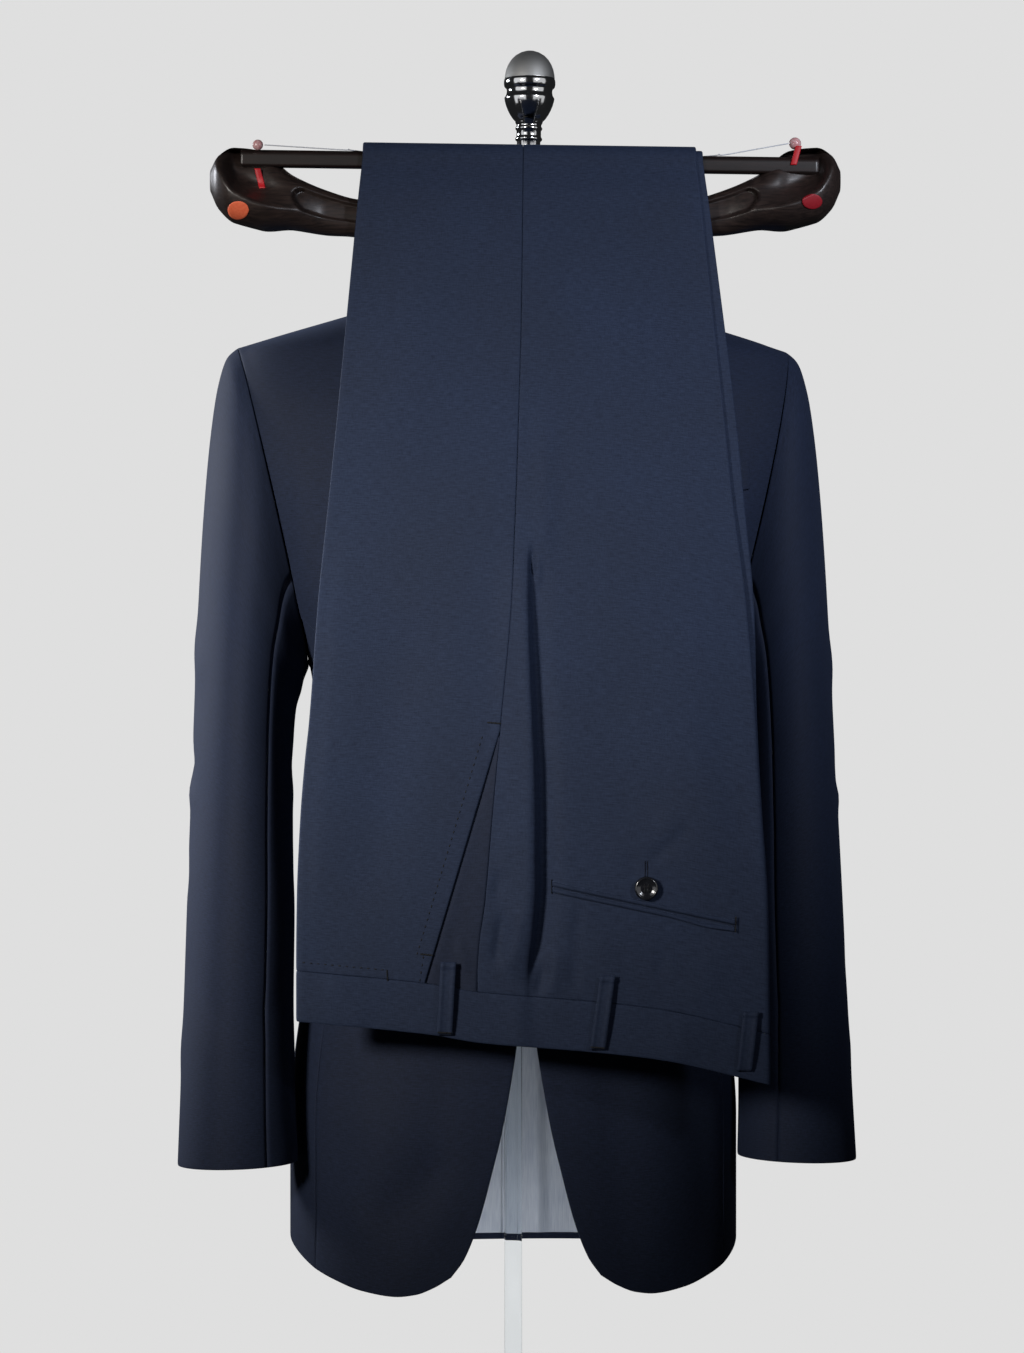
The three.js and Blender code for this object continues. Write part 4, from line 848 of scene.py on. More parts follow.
def make_fronts():
    for side, word in ((-1, "right"), (1, "left")):
        z = z_steps(HEM_SIDE_Z, SHOULDER_STEPS)[None, :]
        share = shares(190, CELL)[:, None]
        start = place_of(look(FRONT_EDGE, "z", "x", z), z, False)
        end = seam_at(z, SIDE_SEAM_Q, SIDE_SEAM_TOP_Z) - SEWN / 2 / HALF_ROUND
        grid = front_face(side, lerp(start, end, share), z + 0 * share)
        grid = rounded_shoulder(grid, z + 0 * share, share + 0 * z)
        dip = smooth((290 - z) / (290 - HEM_SIDE_Z))
        grid[..., 2] -= look(FRONT_HEM, "share", "drop", share + 0 * z) * dip
        grid = turned_form(grid)
        cloth(
            f"suit_front_{word}", grid, CLOTH, side, JACKET_WOOL,
            [f"jacket_front_{word}"],
        )


def make_sides():
    for side, word in ((-1, "right"), (1, "left")):
        middle = (1 - SIDE_SEAM_Q) / (BACK_SEAM_Q - SIDE_SEAM_Q)
        c, v = shares(150, CELL)[:, None], shares(500, CELL)[None, :]
        gap = SEWN / 2 / (HALF_ROUND * (BACK_SEAM_Q - SIDE_SEAM_Q))
        place = lerp(gap, 1 - gap, c)
        front = place < middle
        share = np.where(front, 1 - place / middle, (place - middle) / (1 - middle))
        low = np.where(front, SIDE_SEAM_Q, BACK_SEAM_Q)
        top = np.where(front, SIDE_SEAM_TOP_Z, BACK_SEAM_TOP_Z)
        own_top = lerp(ARMPIT_Z, top, share ** (1 / TURN)) - 3 * SEAM * (1 - share)
        low_z = lerp(HEM_SIDE_Z, HEM_BACK_Z, place) + SIDE_RISE * np.sin(np.pi * place)
        z = lerp(low_z, own_top, v)
        moved = seam_at(z, low, top) - low
        grid = body_point(side, lerp(SIDE_SEAM_Q, BACK_SEAM_Q, place) + moved, z)
        grid = turned_form(grid)
        cloth(
            f"suit_side_{word}", grid, CLOTH, side, JACKET_WOOL,
            [f"jacket_side_{word}"],
        )


def make_backs():
    for side, word in ((-1, "right"), (1, "left")):
        z = z_steps(HEM_BACK_Z, SHOULDER_STEPS)[None, :]
        share = shares(180, CELL)[:, None]
        start = seam_at(z, BACK_SEAM_Q, BACK_SEAM_TOP_Z) + SEWN / 2 / HALF_ROUND
        end = place_of(SEWN / 2, z, True)
        grid = body_point(side, lerp(start, end, share), z + 0 * share)
        grid = draped(side, grid, BACK_DRAPE)
        grid = turned_form(rounded_shoulder(grid, z + 0 * share, 1 - share + 0 * z))
        cloth(
            f"suit_back_{word}", grid, CLOTH, side, JACKET_WOOL,
            [f"jacket_back_{word}"],
        )


def sleeve_grid(side, start, end):
    share = np.linspace(0, 1, max(12, int(abs(end - start) * 62 / CELL)))[:, None]
    steps = [spread(0, 1, 0.05, False), spread(1, 2, 0.1, False), spread(2, 11, 0.075, False)]
    row = np.unique(np.concatenate([*steps, [10.94, 10.97, 10.985]]))[None, :]
    angle = lerp(start, end, share)

    def value(column):
        return look(SLEEVE, "row", column, row)

    along = (1 + np.cos(angle)) / 2
    turn = np.abs(np.sin(angle))
    side_y = np.where(np.sin(angle) > 0, value("front"), value("back"))
    x = side * (lerp(value("ix"), value("ox"), along) + SEAM)
    z = lerp(value("iz"), value("oz"), along)
    return points(x, lerp(value("mid"), side_y, turn), z), angle, row


def make_sleeves():
    gap = SEAM / 2 / SLEEVE_ROUND
    for side, word in ((-1, "right"), (1, "left")):
        spans_of = {
            "top": (SLEEVE_BACK_SEAM + gap, SLEEVE_FRONT_SEAM - gap),
            "under": (SLEEVE_FRONT_SEAM + gap, SLEEVE_BACK_SEAM + 2 * math.pi - gap),
        }
        for kind, (start, end) in spans_of.items():
            grid, angle, row = sleeve_grid(side, start, end)
            height = creases(SLEEVE_DRAPE, np.degrees(np.sin(angle)) * 1.6, grid[..., 2])
            edge = smooth((row - 0.6) / 1.2) * smooth((10.9 - row) / 0.8)
            inside = 0.35 if kind == "under" else 1.0
            grid = turned_form(raised(grid, side, height * edge * inside))
            cloth(
                f"suit_{kind}_sleeve_{word}", grid, CLOTH, side, JACKET_WOOL,
                [f"{kind}_sleeve_{word}"],
            )


def make_lapels():
    for side, word in ((-1, "right"), (1, "left")):
        u, v = shares(60, 3)[:, None], shares(300, 3.5)[None, :]
        roll_z, edge_z = lerp(LAPEL_LOW_Z, LAPEL_TOP_Z, v), lerp(LAPEL_LOW_Z, LAPEL_NOTCH_Z, v)
        roll = look(FRONT_EDGE, "z", "x", roll_z) + 1
        edge = look(LAPEL, "z", "x", edge_z)
        roll_high = 1.6 * np.sin(math.pi * np.clip(u * 1.3, 0, 1))
        out = CLOTH + CLEAR + roll_high + 0 * v
        grid = off_body(side, lerp(roll, edge, u), lerp(roll_z, edge_z, u), False, out)
        cloth(
            f"suit_lapel_{word}", turned_form(grid), CLOTH, side, JACKET_WOOL,
            [f"jacket_lapel_{word}"],
        )


def neckline(side, place):
    """The neck's edge on the body: place is 0 at the centre back and 2 at the collar's end."""
    z = lerp(NECK_Z, NECK_END_Z, np.clip((place - 1.2) / 0.8, 0, 1))
    start = place_of(look(FRONT_EDGE, "z", "x", z), z, False)
    back = body_point(side, 2 - np.minimum(place, 1) * 0.999, NECK_Z + 0 * place)
    front = body_point(side, lerp(1, start, smooth((place - 1) / 0.25)), z)
    return np.where((place <= 1)[..., None], back, front)


def make_collar():
    parts = [np.linspace(0, 1, 9), np.linspace(1, 2, 11), np.linspace(2, 3, 14)]
    v = np.unique(np.concatenate(parts))
    halves = []
    for side in (-1, 1):
        place = 2 * np.linspace(0, 1, 90)
        base_line, top_line = neckline(side, place), neckline(side, place)
        around = np.hypot(base_line[:, 0], base_line[:, 1])
        base_line[:, :2] *= (1 - STAND_IN / around)[:, None]
        top_line[:, :2] *= (1 - STAND_OUT / around)[:, None]
        rise = look(COLLAR, "at", "rise", place)
        x, z = look(COLLAR, "at", "x", place), look(COLLAR, "at", "z", place)
        low = off_body(side, x, z, place < 1, CLOTH + 4 * CLEAR + 0 * x)
        out = unit(top_line * np.array([1, 1, 0]))
        crest = top_line + out * 2
        crest[:, 2] = top_line[:, 2] + rise
        r = COLLAR_FOLD
        columns = []
        for t in v:
            if t <= 1:
                inner = crest - out * r
                inner[:, 2] = crest[:, 2] - r
                columns.append(lerp(base_line, inner, t))
            elif t <= 2:
                bend = math.pi * (t - 1)
                arc = crest - out * (r * math.cos(bend))
                arc[:, 2] = crest[:, 2] - r + r * math.sin(bend)
                columns.append(arc)
            else:
                outer = crest + out * r
                outer[:, 2] = crest[:, 2] - r
                columns.append(lerp(outer, low, t - 2))
        halves.append(np.stack(columns, axis=1))
    grid = np.concatenate([halves[0][:0:-1], halves[1]])
    cloth(
        "suit_collar", turned_form(grid), CLOTH, 1, JACKET_WOOL,
        ["jacket_collar"],
    )


def make_welt():
    u, v = shares(WELT_WIDE, 3)[:, None], shares(WELT_HIGH, 3)[None, :]
    x, z = lerp(117, 117 + WELT_WIDE, u) + 0 * v, lerp(734, 746, u) + WELT_HIGH * v
    grid = off_body(1, x, z, False, CLOTH + CLEAR + 0 * x)
    cloth(
        "suit_breast_welt", turned_form(grid), CLOTH, 1, JACKET_WOOL,
        ["breast_pocket_welt"],
    )


# Folds of the back lining, which hangs a little loose: q across, and heights.
LINING_FOLDS = rows(
    "x0 z0 x1 z1 half high",
    (26, 470, 30, 140, 5, 4.0),
    (38, 470, 40, 140, 6, -2.2),
    (8, 400, 6, 170, 4, -1.4),
    (62, 460, 66, 150, 8, 2.2),
)


def make_lining():
    for side, word in ((-1, "right"), (1, "left")):
        z = spread(HEM_BACK_Z + 6, 470, 4)[None, :]
        share = shares(130, 2.2)[:, None]
        end = place_of(SEWN / 2, z, True)
        grid = body_point(side, lerp(BACK_SEAM_Q + 0.02, end, share), z + 0 * share)
        inwards = 1 - 6.5 / np.hypot(grid[..., 0], grid[..., 1])
        grid[..., :2] *= inwards[..., None]
        height = creases(LINING_FOLDS, grid[..., 0] * side, grid[..., 2])
        grid[..., 1] -= np.maximum(height, -1.5) * smooth(share / 0.2)
        cloth(
            f"suit_back_lining_{word}", turned_form(grid), 0.6, side, LINING_PAINTED_LIGHT,
            [f"jacket_back_lining_{word}"],
            0.0,
        )


make_fronts()
make_sides()
make_backs()
make_sleeves()
make_lapels()
make_collar()
make_welt()
make_lining()


# ------------------------------------------------------------ the trousers

HANGER_X, HANGER_Y = 9, -163
BAR_H, BAR_D, BAR_TOP_Z = 13.5, 11, 995.5
BAR_LEFT, BAR_RIGHT, BAR_SLOPE = -206, 231, -0.014
BAR_FACE = BAR_D / 2 + 0.8
ARC_Z = BAR_TOP_Z - BAR_D / 2
WOOL = 1.0
# The four layers of the folded legs, from the bar outwards: how far each face lies off it, and
# how much of the hang's fullness it has.
LAYER_FACE = (0, 2.5, 3.0, 5.5)
LAYER_FULL = (0, 1, 1.4, 2.4)
BAND_H, BAND_T = 38, 2.2

# The folded leg: its two creases, the side seam and the inseam.
LEG = rows(
    "z left right seam inseam",
    (300, -163, 193, -26, 0),
    (383, -163, 192, -27, 0),
    (432, -162.5, 191, -21, 0),
    (492, -160, 187, -16, 2),
    (537, -156.5, 184, -12, 6),
    (565, -153.5, 182.5, -9.5, 8),
    (657, -146.7, 175, -1.5, 12),
    (733, -138.8, 165, 2, 12),
    (795, -132.5, 158.6, 4, 12),
    (870, -125.2, 150.4, 6, 12),
    (996, -113, 137.3, 7.5, 12),
)
LEG_FAR = rows(
    "z left right seam inseam",
    (606, -93, 113, 10, 12),
    (760, -97, 118, 9, 12),
    (996, -113, 137.3, 7.5, 12),
)
LEG_FAR_HEM_Z = 606
RISE = rows(
    "z front back",
    (300, 90, 6), (383, 93, 6), (432, 100, 8), (492, 118, 24), (537, 140, 96), (565, 161, 174),
)
LEFT_SHIFT = rows("z x", (300, 0), (560, 1), (657, 6), (760, 9), (996, 5))
WAIST_SEAM = rows(
    "x z", (-163, 379), (-62, 369), (-26, 363), (58, 356), (110, 350), (193, 331)
)
NEAR_WAIST_Z = 370  # a height near the waist seam, to find the panels' ends from
POCKET_TOP, POCKET_BOTTOM = (-10.6, 557.5), (-61, 388)
# How far the legs hang off the bar's face on the near and the far side, and their fullness.
HANG = rows(
    "z near far full",
    (300, 2, 2, 5),
    (400, 3, 2, 5),
    (500, 4, 2, 4),
    (620, 5, 2, 2),
    (760, 6, 4, 0.6),
    (900, 9, 9, 0),
    (955, 8, 8, 0),
    (986, 0, 0, 0),
)
# The deep fold beside the side seam: a roll that drops steeply into a valley.
FOLD = rows(
    "z x depth roll",
    (330, 10, 0.3, 0.3),
    (368, 11, 1.0, 1.5),
    (384, 12.5, 3.5, 6),
    (404, 15.5, 6, 9.5),
    (447, 18.5, 7, 11),
    (520, 18, 6, 11.5),
    (548, 16.8, 4.2, 12),
    (600, 14.5, 3.2, 11.5),
    (669, 12.5, 2.6, 7.5),
    (688, 12.5, 1.5, 2.6),
    (704, 12.5, 0, 0),
)
ROLL_WIDE, STEEP, VALLEY_HALF, VALLEY_OFF = 17, 1.6, 9, 4
# Smaller creases of the leg in front, in its x and z.
LEG_CREASES = rows(
    "x0 z0 x1 z1 half high",
    (24, 800, 23, 680, 9, 1.6),
    (13.5, 694, 14.5, 674, 2.2, -2.6),
    (18, 690, 19, 668, 3, 1.6),
    (102, 460, 132, 486, 5, -1.7),
    (112, 500, 124, 470, 9, 1.2),
    (84, 466, 95, 450, 4, -1.1),
    (-8, 420, -13, 386, 4.5, -2.4),
    (4, 424, -2, 380, 5.5, 1.8),
    (25, 384, 18, 362, 4, -2.2),
    (33, 392, 30, 362, 5, 1.4),
    (-10, 454, -13, 434, 4.5, -1.3),
    (-4, 490, -8, 446, 6, 1.0),
    (-42, 400, -34, 380, 3, 1.2),
    (-130, 700, -150, 420, 26, 1.6),
    (-80, 640, -110, 430, 22, -1.4),
    (70, 600, 90, 480, 26, -1.6),
    (130, 640, 150, 430, 24, 1.8),
    (60, 930, 110, 760, 26, -1.2),
    (-60, 930, -90, 760, 26, 1.0),
    (150, 560, 176, 470, 12, -1.4),
    (60, 405, 80, 362, 9, 1.0),
    (150, 400, 140, 350, 12, 1.0),
    (-140, 372, -110, 340, 12, 1.2),
    (0, 352, 10, 322, 9, 1.0),
    (120, 344, 130, 312, 14, 1.2),
)
# The two darts of the back: their pressed lines.
DARTS = rows(
    "x0 z0 x1 z1 half high", (49.8, 430, 45.2, 359, 1.1, -1.7), (115.4, 419, 107, 352, 1.1, -1.7)
)
FAR_CREASES = rows(
    "x0 z0 x1 z1 half high",
    (-60, 950, -50, 700, 22, 1.6),
    (60, 940, 70, 660, 24, -1.6),
    (20, 800, 10, 620, 14, 1.2),
)
# Each leg's outer and inner layer, and whether it is shifted sideways.
LEGS = {"right": (3, 2, 0), "left": (0, 1, 1)}


def waist_seam(x):
    return look(WAIST_SEAM, "x", "z", x)


def face_off(layer, z, far):
    """How far a layer's face lies off the bar's middle."""
    away = np.where(far, look(HANG, "z", "far", z), look(HANG, "z", "near", z))
    full = LAYER_FULL[layer] * look(HANG, "z", "full", z) * np.where(far, 0.3, 1)
    return BAR_FACE + LAYER_FACE[layer] + away + full


def outline(leg, z, far):
    """Both creases, the side seam and the ends inside, at each height."""
    _, _, shift = LEGS[leg]
    moved = shift * look(LEFT_SHIFT, "z", "x", np.where(far, 996, z))

    def value(name):
        return np.where(far, look(LEG_FAR, "z", name, z), look(LEG, "z", name, z)) + moved

    left, right, inseam = value("left"), value("right"), value("inseam")
    front = np.minimum(inseam - SEAM, left + look(RISE, "z", "front", z))
    back = np.maximum(inseam + SEAM, right - look(RISE, "z", "back", z))
    front = np.where(far, inseam - SEAM, front)
    back = np.where(far, inseam + SEAM, back)
    return left, right, value("seam"), front, back


def leg_relief(x, z):
    """How far the leg in front stands out: the deep fold, the creases and the darts."""
    centre = look(FOLD, "z", "x", z)
    roll = look(FOLD, "z", "roll", z) * bell(np.maximum(centre - x, 0), ROLL_WIDE)
    steep = 0.5 * (1 + np.tanh((centre - x) / STEEP))
    valley = look(FOLD, "z", "depth", z) * bell(x - centre - VALLEY_OFF, VALLEY_HALF)
    return roll * steep - valley + creases(LEG_CREASES, x, z) + creases(DARTS, x, z)


def leg_point(leg, u, v, z0):
    """A point of a leg's outer face: u round the section, v up the near side and over the bar."""
    u, v, z0 = np.broadcast_arrays(*(np.asarray(k, float) for k in (u, v, z0)))
    outer_layer, inner_layer, _ = LEGS[leg]
    far = v > 1.5
    z = height_of(v, z0)
    left, right, _, front_end, back_end = outline(leg, z, far)
    outer, inner = face_off(outer_layer, z, far), face_off(inner_layer, z, far)
    r = np.abs(outer - inner) / 2
    first, second = np.pi * np.clip(u - 1, 0, 1), np.pi * np.clip(u - 3, 0, 1)
    zones = [u <= 1, u <= 2, u <= 3, u <= 4]
    x = np.select(
        zones,
        [
            lerp(front_end, left + r, u),
            left + r * (1 - np.sin(first)),
            lerp(left + r, right - r, u - 2),
            right - r * (1 - np.sin(second)),
        ],
        lerp(right - r, back_end, u - 4),
    )
    off = np.select(
        zones,
        [
            inner,
            lerp(inner, outer, (1 - np.cos(first)) / 2),
            outer,
            lerp(outer, inner, (1 - np.cos(second)) / 2),
        ],
        inner,
    )
    if leg == "right":
        across = (u - 2) * (right - left)
        fade = smooth(across / 14) * smooth((right - left - across) / 14)
        on_face = ((u >= 2) & (u <= 3)) * fade
        near = leg_relief(x, z) * (v <= 1) * smooth((ARC_Z - z) / 40)
        back = creases(FAR_CREASES, x, z) * (v >= 2) * smooth((ARC_Z - z) / 40)
        off = off + (near + back) * on_face
    rise = BAR_SLOPE * (x - HANGER_X) * smooth((z - 800) / 190)
    turn = np.pi * np.clip(v - 1, 0, 1)
    y = HANGER_Y - off * np.cos(turn)
    over = np.where((v > 1) & (v < 2), off * np.sin(turn), 0)
    return points(x, y, z + over + rise)


def height_of(v, z0):
    """A height on the leg: v runs from z0 up to the bar at 1, over it to 2 and down to 3."""
    near = lerp(z0, ARC_Z, np.clip(v, 0, 1))
    return np.where(v <= 1, near, np.where(v >= 2, lerp(ARC_Z, LEG_FAR_HEM_Z, v - 2), ARC_Z))


def place_across(leg, x, z, far=False):
    """The u of leg_point that lies at x on the outer face."""
    outer_layer, inner_layer, _ = LEGS[leg]
    left, right, *_ = outline(leg, z, far)
    r = np.abs(face_off(outer_layer, z, far) - face_off(inner_layer, z, far)) / 2
    return 2 + (x - left - r) / (right - left - 2 * r)


def pocket_line(z):
    (x1, z1), (x0, z0) = POCKET_TOP, POCKET_BOTTOM
    return lerp(x0, x1, (z - z0) / (z1 - z0))


def on_leg(leg, x, z, out):
    """A point x, z of the leg's outer face, moved straight out from it."""
    point = leg_point(leg, place_across(leg, x, z), 0, z)
    point[..., 1] += (-1 if leg == "right" else 1) * out
    return point


def leg_panel(leg, back, pocket):
    """A grid of a front or back panel, from its waist edge over the bar to its far end."""
    fine = 1.0 if leg == "right" else 2.2
    if back:
        near_fold = np.arange(2.03, 2.27, 0.0066 * fine)
        flat = np.arange(2.0, 3.0, 0.020 * fine)
        c = np.concatenate([[2.004, 2.01], flat, near_fold, [2.99, 2.996]])
        c = np.concatenate([c, np.linspace(3, 4, 7), np.linspace(4, 5, 9)])
    else:
        c = np.concatenate([np.linspace(0, 1, 12), np.linspace(1, 2, 7)])
        c = np.concatenate([c, np.arange(2, 3, 0.025 * fine), [2.97, 2.985, 2.993, 3]])
    near = np.arange(0, 1, 3.9 * fine / 640)
    v = np.concatenate([[0.0008, 0.0019, 0.0038], near, np.linspace(1, 2, 19)])
    v = np.concatenate([v, np.arange(2, 3, 0.018 * fine), [2.99, 2.997, 3]])
    c, v = np.unique(c)[:, None], np.unique(np.round(v, 6))[None, :]

    def place_at(z, far):
        seam_x = outline(leg, z, far)[2] + (SEWN if back else -SEWN)
        if pocket and not back:
            seam_x = np.where(~far & (z < POCKET_TOP[1]), pocket_line(z), seam_x)
        seam = place_across(leg, seam_x, z, far)
        if back:
            return np.where(c >= 3, c, lerp(seam, 3, np.clip(c - 2, 0, 1)))
        return np.where(c <= 2, c, lerp(2, seam, np.clip(c - 2, 0, 1)))

    nowhere = np.zeros(v.shape, bool)
    waist = place_at(NEAR_WAIST_Z + 0 * v, nowhere)
    start = leg_point(leg, waist, 0, NEAR_WAIST_Z)[..., 0]
    z0 = waist_seam(start) + SEWN
    far = v > 1.5
    z = height_of(v + 0 * c, z0)
    return leg_point(leg, place_at(z, far), v, z0)


def pocket_facing():
    c, v = np.linspace(0, 1, 22)[:, None], np.linspace(0, 1, 70)[None, :]
    z = lerp(waist_seam(-40) + SEWN, POCKET_TOP[1] - 3, v)
    seam_x = outline("right", z, False)[2] - SEWN
    x = lerp(np.minimum(pocket_line(z) - 7, seam_x - 8), seam_x, c)
    low = waist_seam(x) + SEWN
    height = lerp(low, z, smooth(v * 4))
    grid = leg_point("right", place_across("right", x, height), 0, height)
    under = smooth((pocket_line(height) + 5 - grid[..., 0]) / 9)
    sunk = 1.4 * smooth((1 - c) / 0.6)
    grid[..., 1] += 0.25 + sunk + 1.5 * under * smooth((1 - c) / 0.1)
    return grid


def waistband(leg):
    u = np.unique(np.concatenate([
        np.linspace(0, 1, 16), np.linspace(1, 2, 9), np.linspace(2, 3, 110),
        np.linspace(3, 4, 9), np.linspace(4, 5, 4),
    ]))[:, None]
    v = np.array([0, 0.02, 0.05, 0.12, 0.25, 0.4, 0.6, 0.75, 0.88, 0.95, 0.98, 1])[None, :]
    top = waist_seam(leg_point(leg, u, 0, NEAR_WAIST_Z)[..., 0]) - SEWN
    z = lerp(top, top - BAND_H, v)
    return leg_point(leg, u, 0, z)


def patch(leg, corners, out, across, down):
    """A grid on the leg between four corners, numbered from low left round to top left."""
    (ax, az), (bx, bz), (cx, cz), (dx, dz) = corners
    u, v = np.linspace(0, 1, across)[:, None], np.linspace(0, 1, down)[None, :]
    x = lerp(lerp(ax, bx, u), lerp(dx, cx, u), v)
    z = lerp(lerp(az, bz, u), lerp(dz, cz, u), v)
    return on_leg(leg, x, z, out(u, v))


LOOPS = rows(
    "topx topz lowx lowz", (-48.5, 386, -51.5, 331), (70.7, 376, 63, 320), (178, 349, 173, 304)
)
LOOP_W = 12


def loop_out(u, v):
    """A loop lies on the seam at its ends and stands off the band between them."""
    ridge = 0.6 * bell(np.abs(u - 0.5) - 0.34, 0.12)
    turned_end = 1.3 * smooth((v - 0.89) / 0.04)
    return 2.7 + 2.2 * np.sin(np.pi * np.clip(v, 0, 1)) ** 0.6 + ridge + turned_end


def make_trousers():
    for word in LEGS:
        flip = 1 if word == "right" else -1
        for back, kind in ((False, "front"), (True, "back")):
            grid = leg_panel(word, back, word == "right")
            cloth(
                f"suit_trouser_{kind}_{word}", grid, WOOL, flip, TROUSER_WOOL,
                [f"trouser_{kind}_{word}"],
            )
        cloth(
            f"suit_waistband_{word}", waistband(word), BAND_T, -flip, TROUSER_WOOL,
            [f"waistband_{word}"],
            0.5,
        )
        for which, tx, tz, lx, lz in zip(("front", "side", "back"), *LOOPS.values()):
            if which == "back" and word == "left":
                continue
            half = LOOP_W / 2
            corners = ((lx - half, lz), (lx + half, lz), (tx + half, tz), (tx - half, tz))
            grid = patch(word, corners, loop_out, 17, 44)
            cloth(
                f"suit_loop_{which}_{word}", grid, 1.3, flip, TROUSER_WOOL,
                [f"belt_loop_{which}_{word}"],
                0.3,
            )
    cloth(
        "suit_pocket_facing", pocket_facing(), WOOL, 1, FACING_WOOL,
        ["side_pocket_facing"], 0.0,
    )


# The back pocket's jets: both ends of the slit, then half the height of the jets and the slit.
JET = (29, 441.8, 166, 413, 4.4, 0.4)


def jet_roll(v):
    return 1.2 + 1.3 * np.sin(np.pi * v) ** 0.6


def upper_jet(u, v):
    return jet_roll(v) + 0.5


def lower_jet(u, v):
    """The lower jet sinks where the pocket gapes near its right end."""
    return jet_roll(v) - 1.6 * bell(u - 0.86, 0.16) * v


def make_jets():
    lx, lz, rx, rz, half, slit = JET
    for word, out, low, high in (
        ("upper", upper_jet, slit, half), ("lower", lower_jet, -half, -slit),
    ):
        corners = ((lx, lz + low), (rx, rz + low), (rx, rz + high), (lx, lz + high))
        grid = patch("right", corners, out, 120, 9)
        if word == "lower":
            u = np.linspace(0, 1, 120)[:, None]
            grid[..., 2] -= 1.8 * bell(u - 0.84, 0.13)
        cloth(
            f"suit_pocket_jet_{word}", grid, 0.9, 1, TROUSER_WOOL,
            [f"back_pocket_jet_{word}"], 0.2,
        )


make_trousers()
make_jets()


# ------------------------------------------------------------ stitches

def add_socket(tree, name, kind, value, way="INPUT"):
    socket = tree.interface.new_socket(name=name, in_out=way, socket_type=kind)
    if value is not None:
        socket.default_value = value
    return socket.identifier


def stitch_tree():
    """Rows of small stitches along a curve: spacing, size and the way they lie are inputs."""
    tree = bpy.data.node_groups.new("stitch_row", "GeometryNodeTree")
    ids = {"rows": add_socket(tree, "Rows", "NodeSocketGeometry", None)}
    for name, value in (("Spacing", 0.004), ("Length", 0.0018), ("Radius", 0.0003), ("Turn", 0.0)):
        ids[name.lower()] = add_socket(tree, name, "NodeSocketFloat", value)
    ids["thread"] = add_socket(tree, "Thread", "NodeSocketMaterial", None)
    add_socket(tree, "Stitches", "NodeSocketGeometry", None, "OUTPUT")
    given = add(tree, "NodeGroupInput").outputs
    spaced = add(
        tree, "GeometryNodeCurveToPoints", {"Curve": given["Rows"], "Length": given["Spacing"]},
        mode="LENGTH",
    ).outputs
    ball = add(
        tree, "GeometryNodeMeshUVSphere", {"Segments": 8, "Rings": 6, "Radius": 1.0}
    ).outputs["Mesh"]
    inputs = {0: given["Length"], 1: 0.5}
    half = add(tree, "ShaderNodeMath", inputs, operation="MULTIPLY").outputs[0]
    size = {"X": given["Radius"], "Y": given["Radius"], "Z": half}
    scale = add(tree, "ShaderNodeCombineXYZ", size).outputs[0]
    inputs = {
        "Points": spaced["Points"], "Instance": ball,
        "Rotation": spaced["Rotation"], "Scale": scale,
    }
    placed = add(tree, "GeometryNodeInstanceOnPoints", inputs).outputs[0]
    jitter = add(
        tree, "FunctionNodeRandomValue", {2: -0.12, 3: 0.12, "Seed": 7}, data_type="FLOAT"
    ).outputs[1]
    angle = add(tree, "ShaderNodeMath", {0: given["Turn"], 1: jitter}, operation="ADD").outputs[0]
    turn = add(tree, "ShaderNodeCombineXYZ", {"X": angle}).outputs[0]
    turned = add(
        tree, "GeometryNodeRotateInstances", {"Instances": placed, "Rotation": turn}
    ).outputs[0]
    real = add(tree, "GeometryNodeRealizeInstances", {"Geometry": turned}).outputs[0]
    inputs = {"Geometry": real, "Material": given["Thread"]}
    done = add(tree, "GeometryNodeSetMaterial", inputs).outputs[0]
    add(tree, "NodeGroupOutput", {0: done})
    return tree, ids


STITCH_TREE, STITCH_IDS = stitch_tree()


def stitches(name, lines, spacing, length, radius, turn, material):
    """Stitches in millimetres along lines of points, as one plain mesh."""
    curve = bpy.data.curves.new(name + "_rows", "CURVE")
    curve.dimensions = "3D"
    for line in lines:
        spline = curve.splines.new("POLY")
        spline.points.add(len(line) - 1)
        padded = np.concatenate([line * MM, np.ones((len(line), 1))], axis=1)
        spline.points.foreach_set("co", padded.ravel())
    source = link_object(bpy.data.objects.new(name + "_rows", curve))
    modifier = source.modifiers.new("stitch_row", "NODES")
    modifier.node_group = STITCH_TREE
    for key, value in (("spacing", spacing), ("length", length), ("radius", radius)):
        modifier[STITCH_IDS[key]] = value * MM
    modifier[STITCH_IDS["turn"]] = turn
    modifier[STITCH_IDS["thread"]] = material
    bpy.context.view_layer.update()
    evaluated = source.evaluated_get(bpy.context.evaluated_depsgraph_get())
    mesh = bpy.data.meshes.new_from_object(evaluated)
    mesh.name = name
    bpy.data.objects.remove(source)
    mesh.shade_smooth()
    return settle(link_object(bpy.data.objects.new(name, mesh)), [])


def leg_line(x0, z0, x1, z1, out, count=24):
    """A line on the leg in front, a little off its cloth."""
    t = np.linspace(0, 1, count)
    return on_leg("right", lerp(x0, x1, t), lerp(z0, z1, t), out)


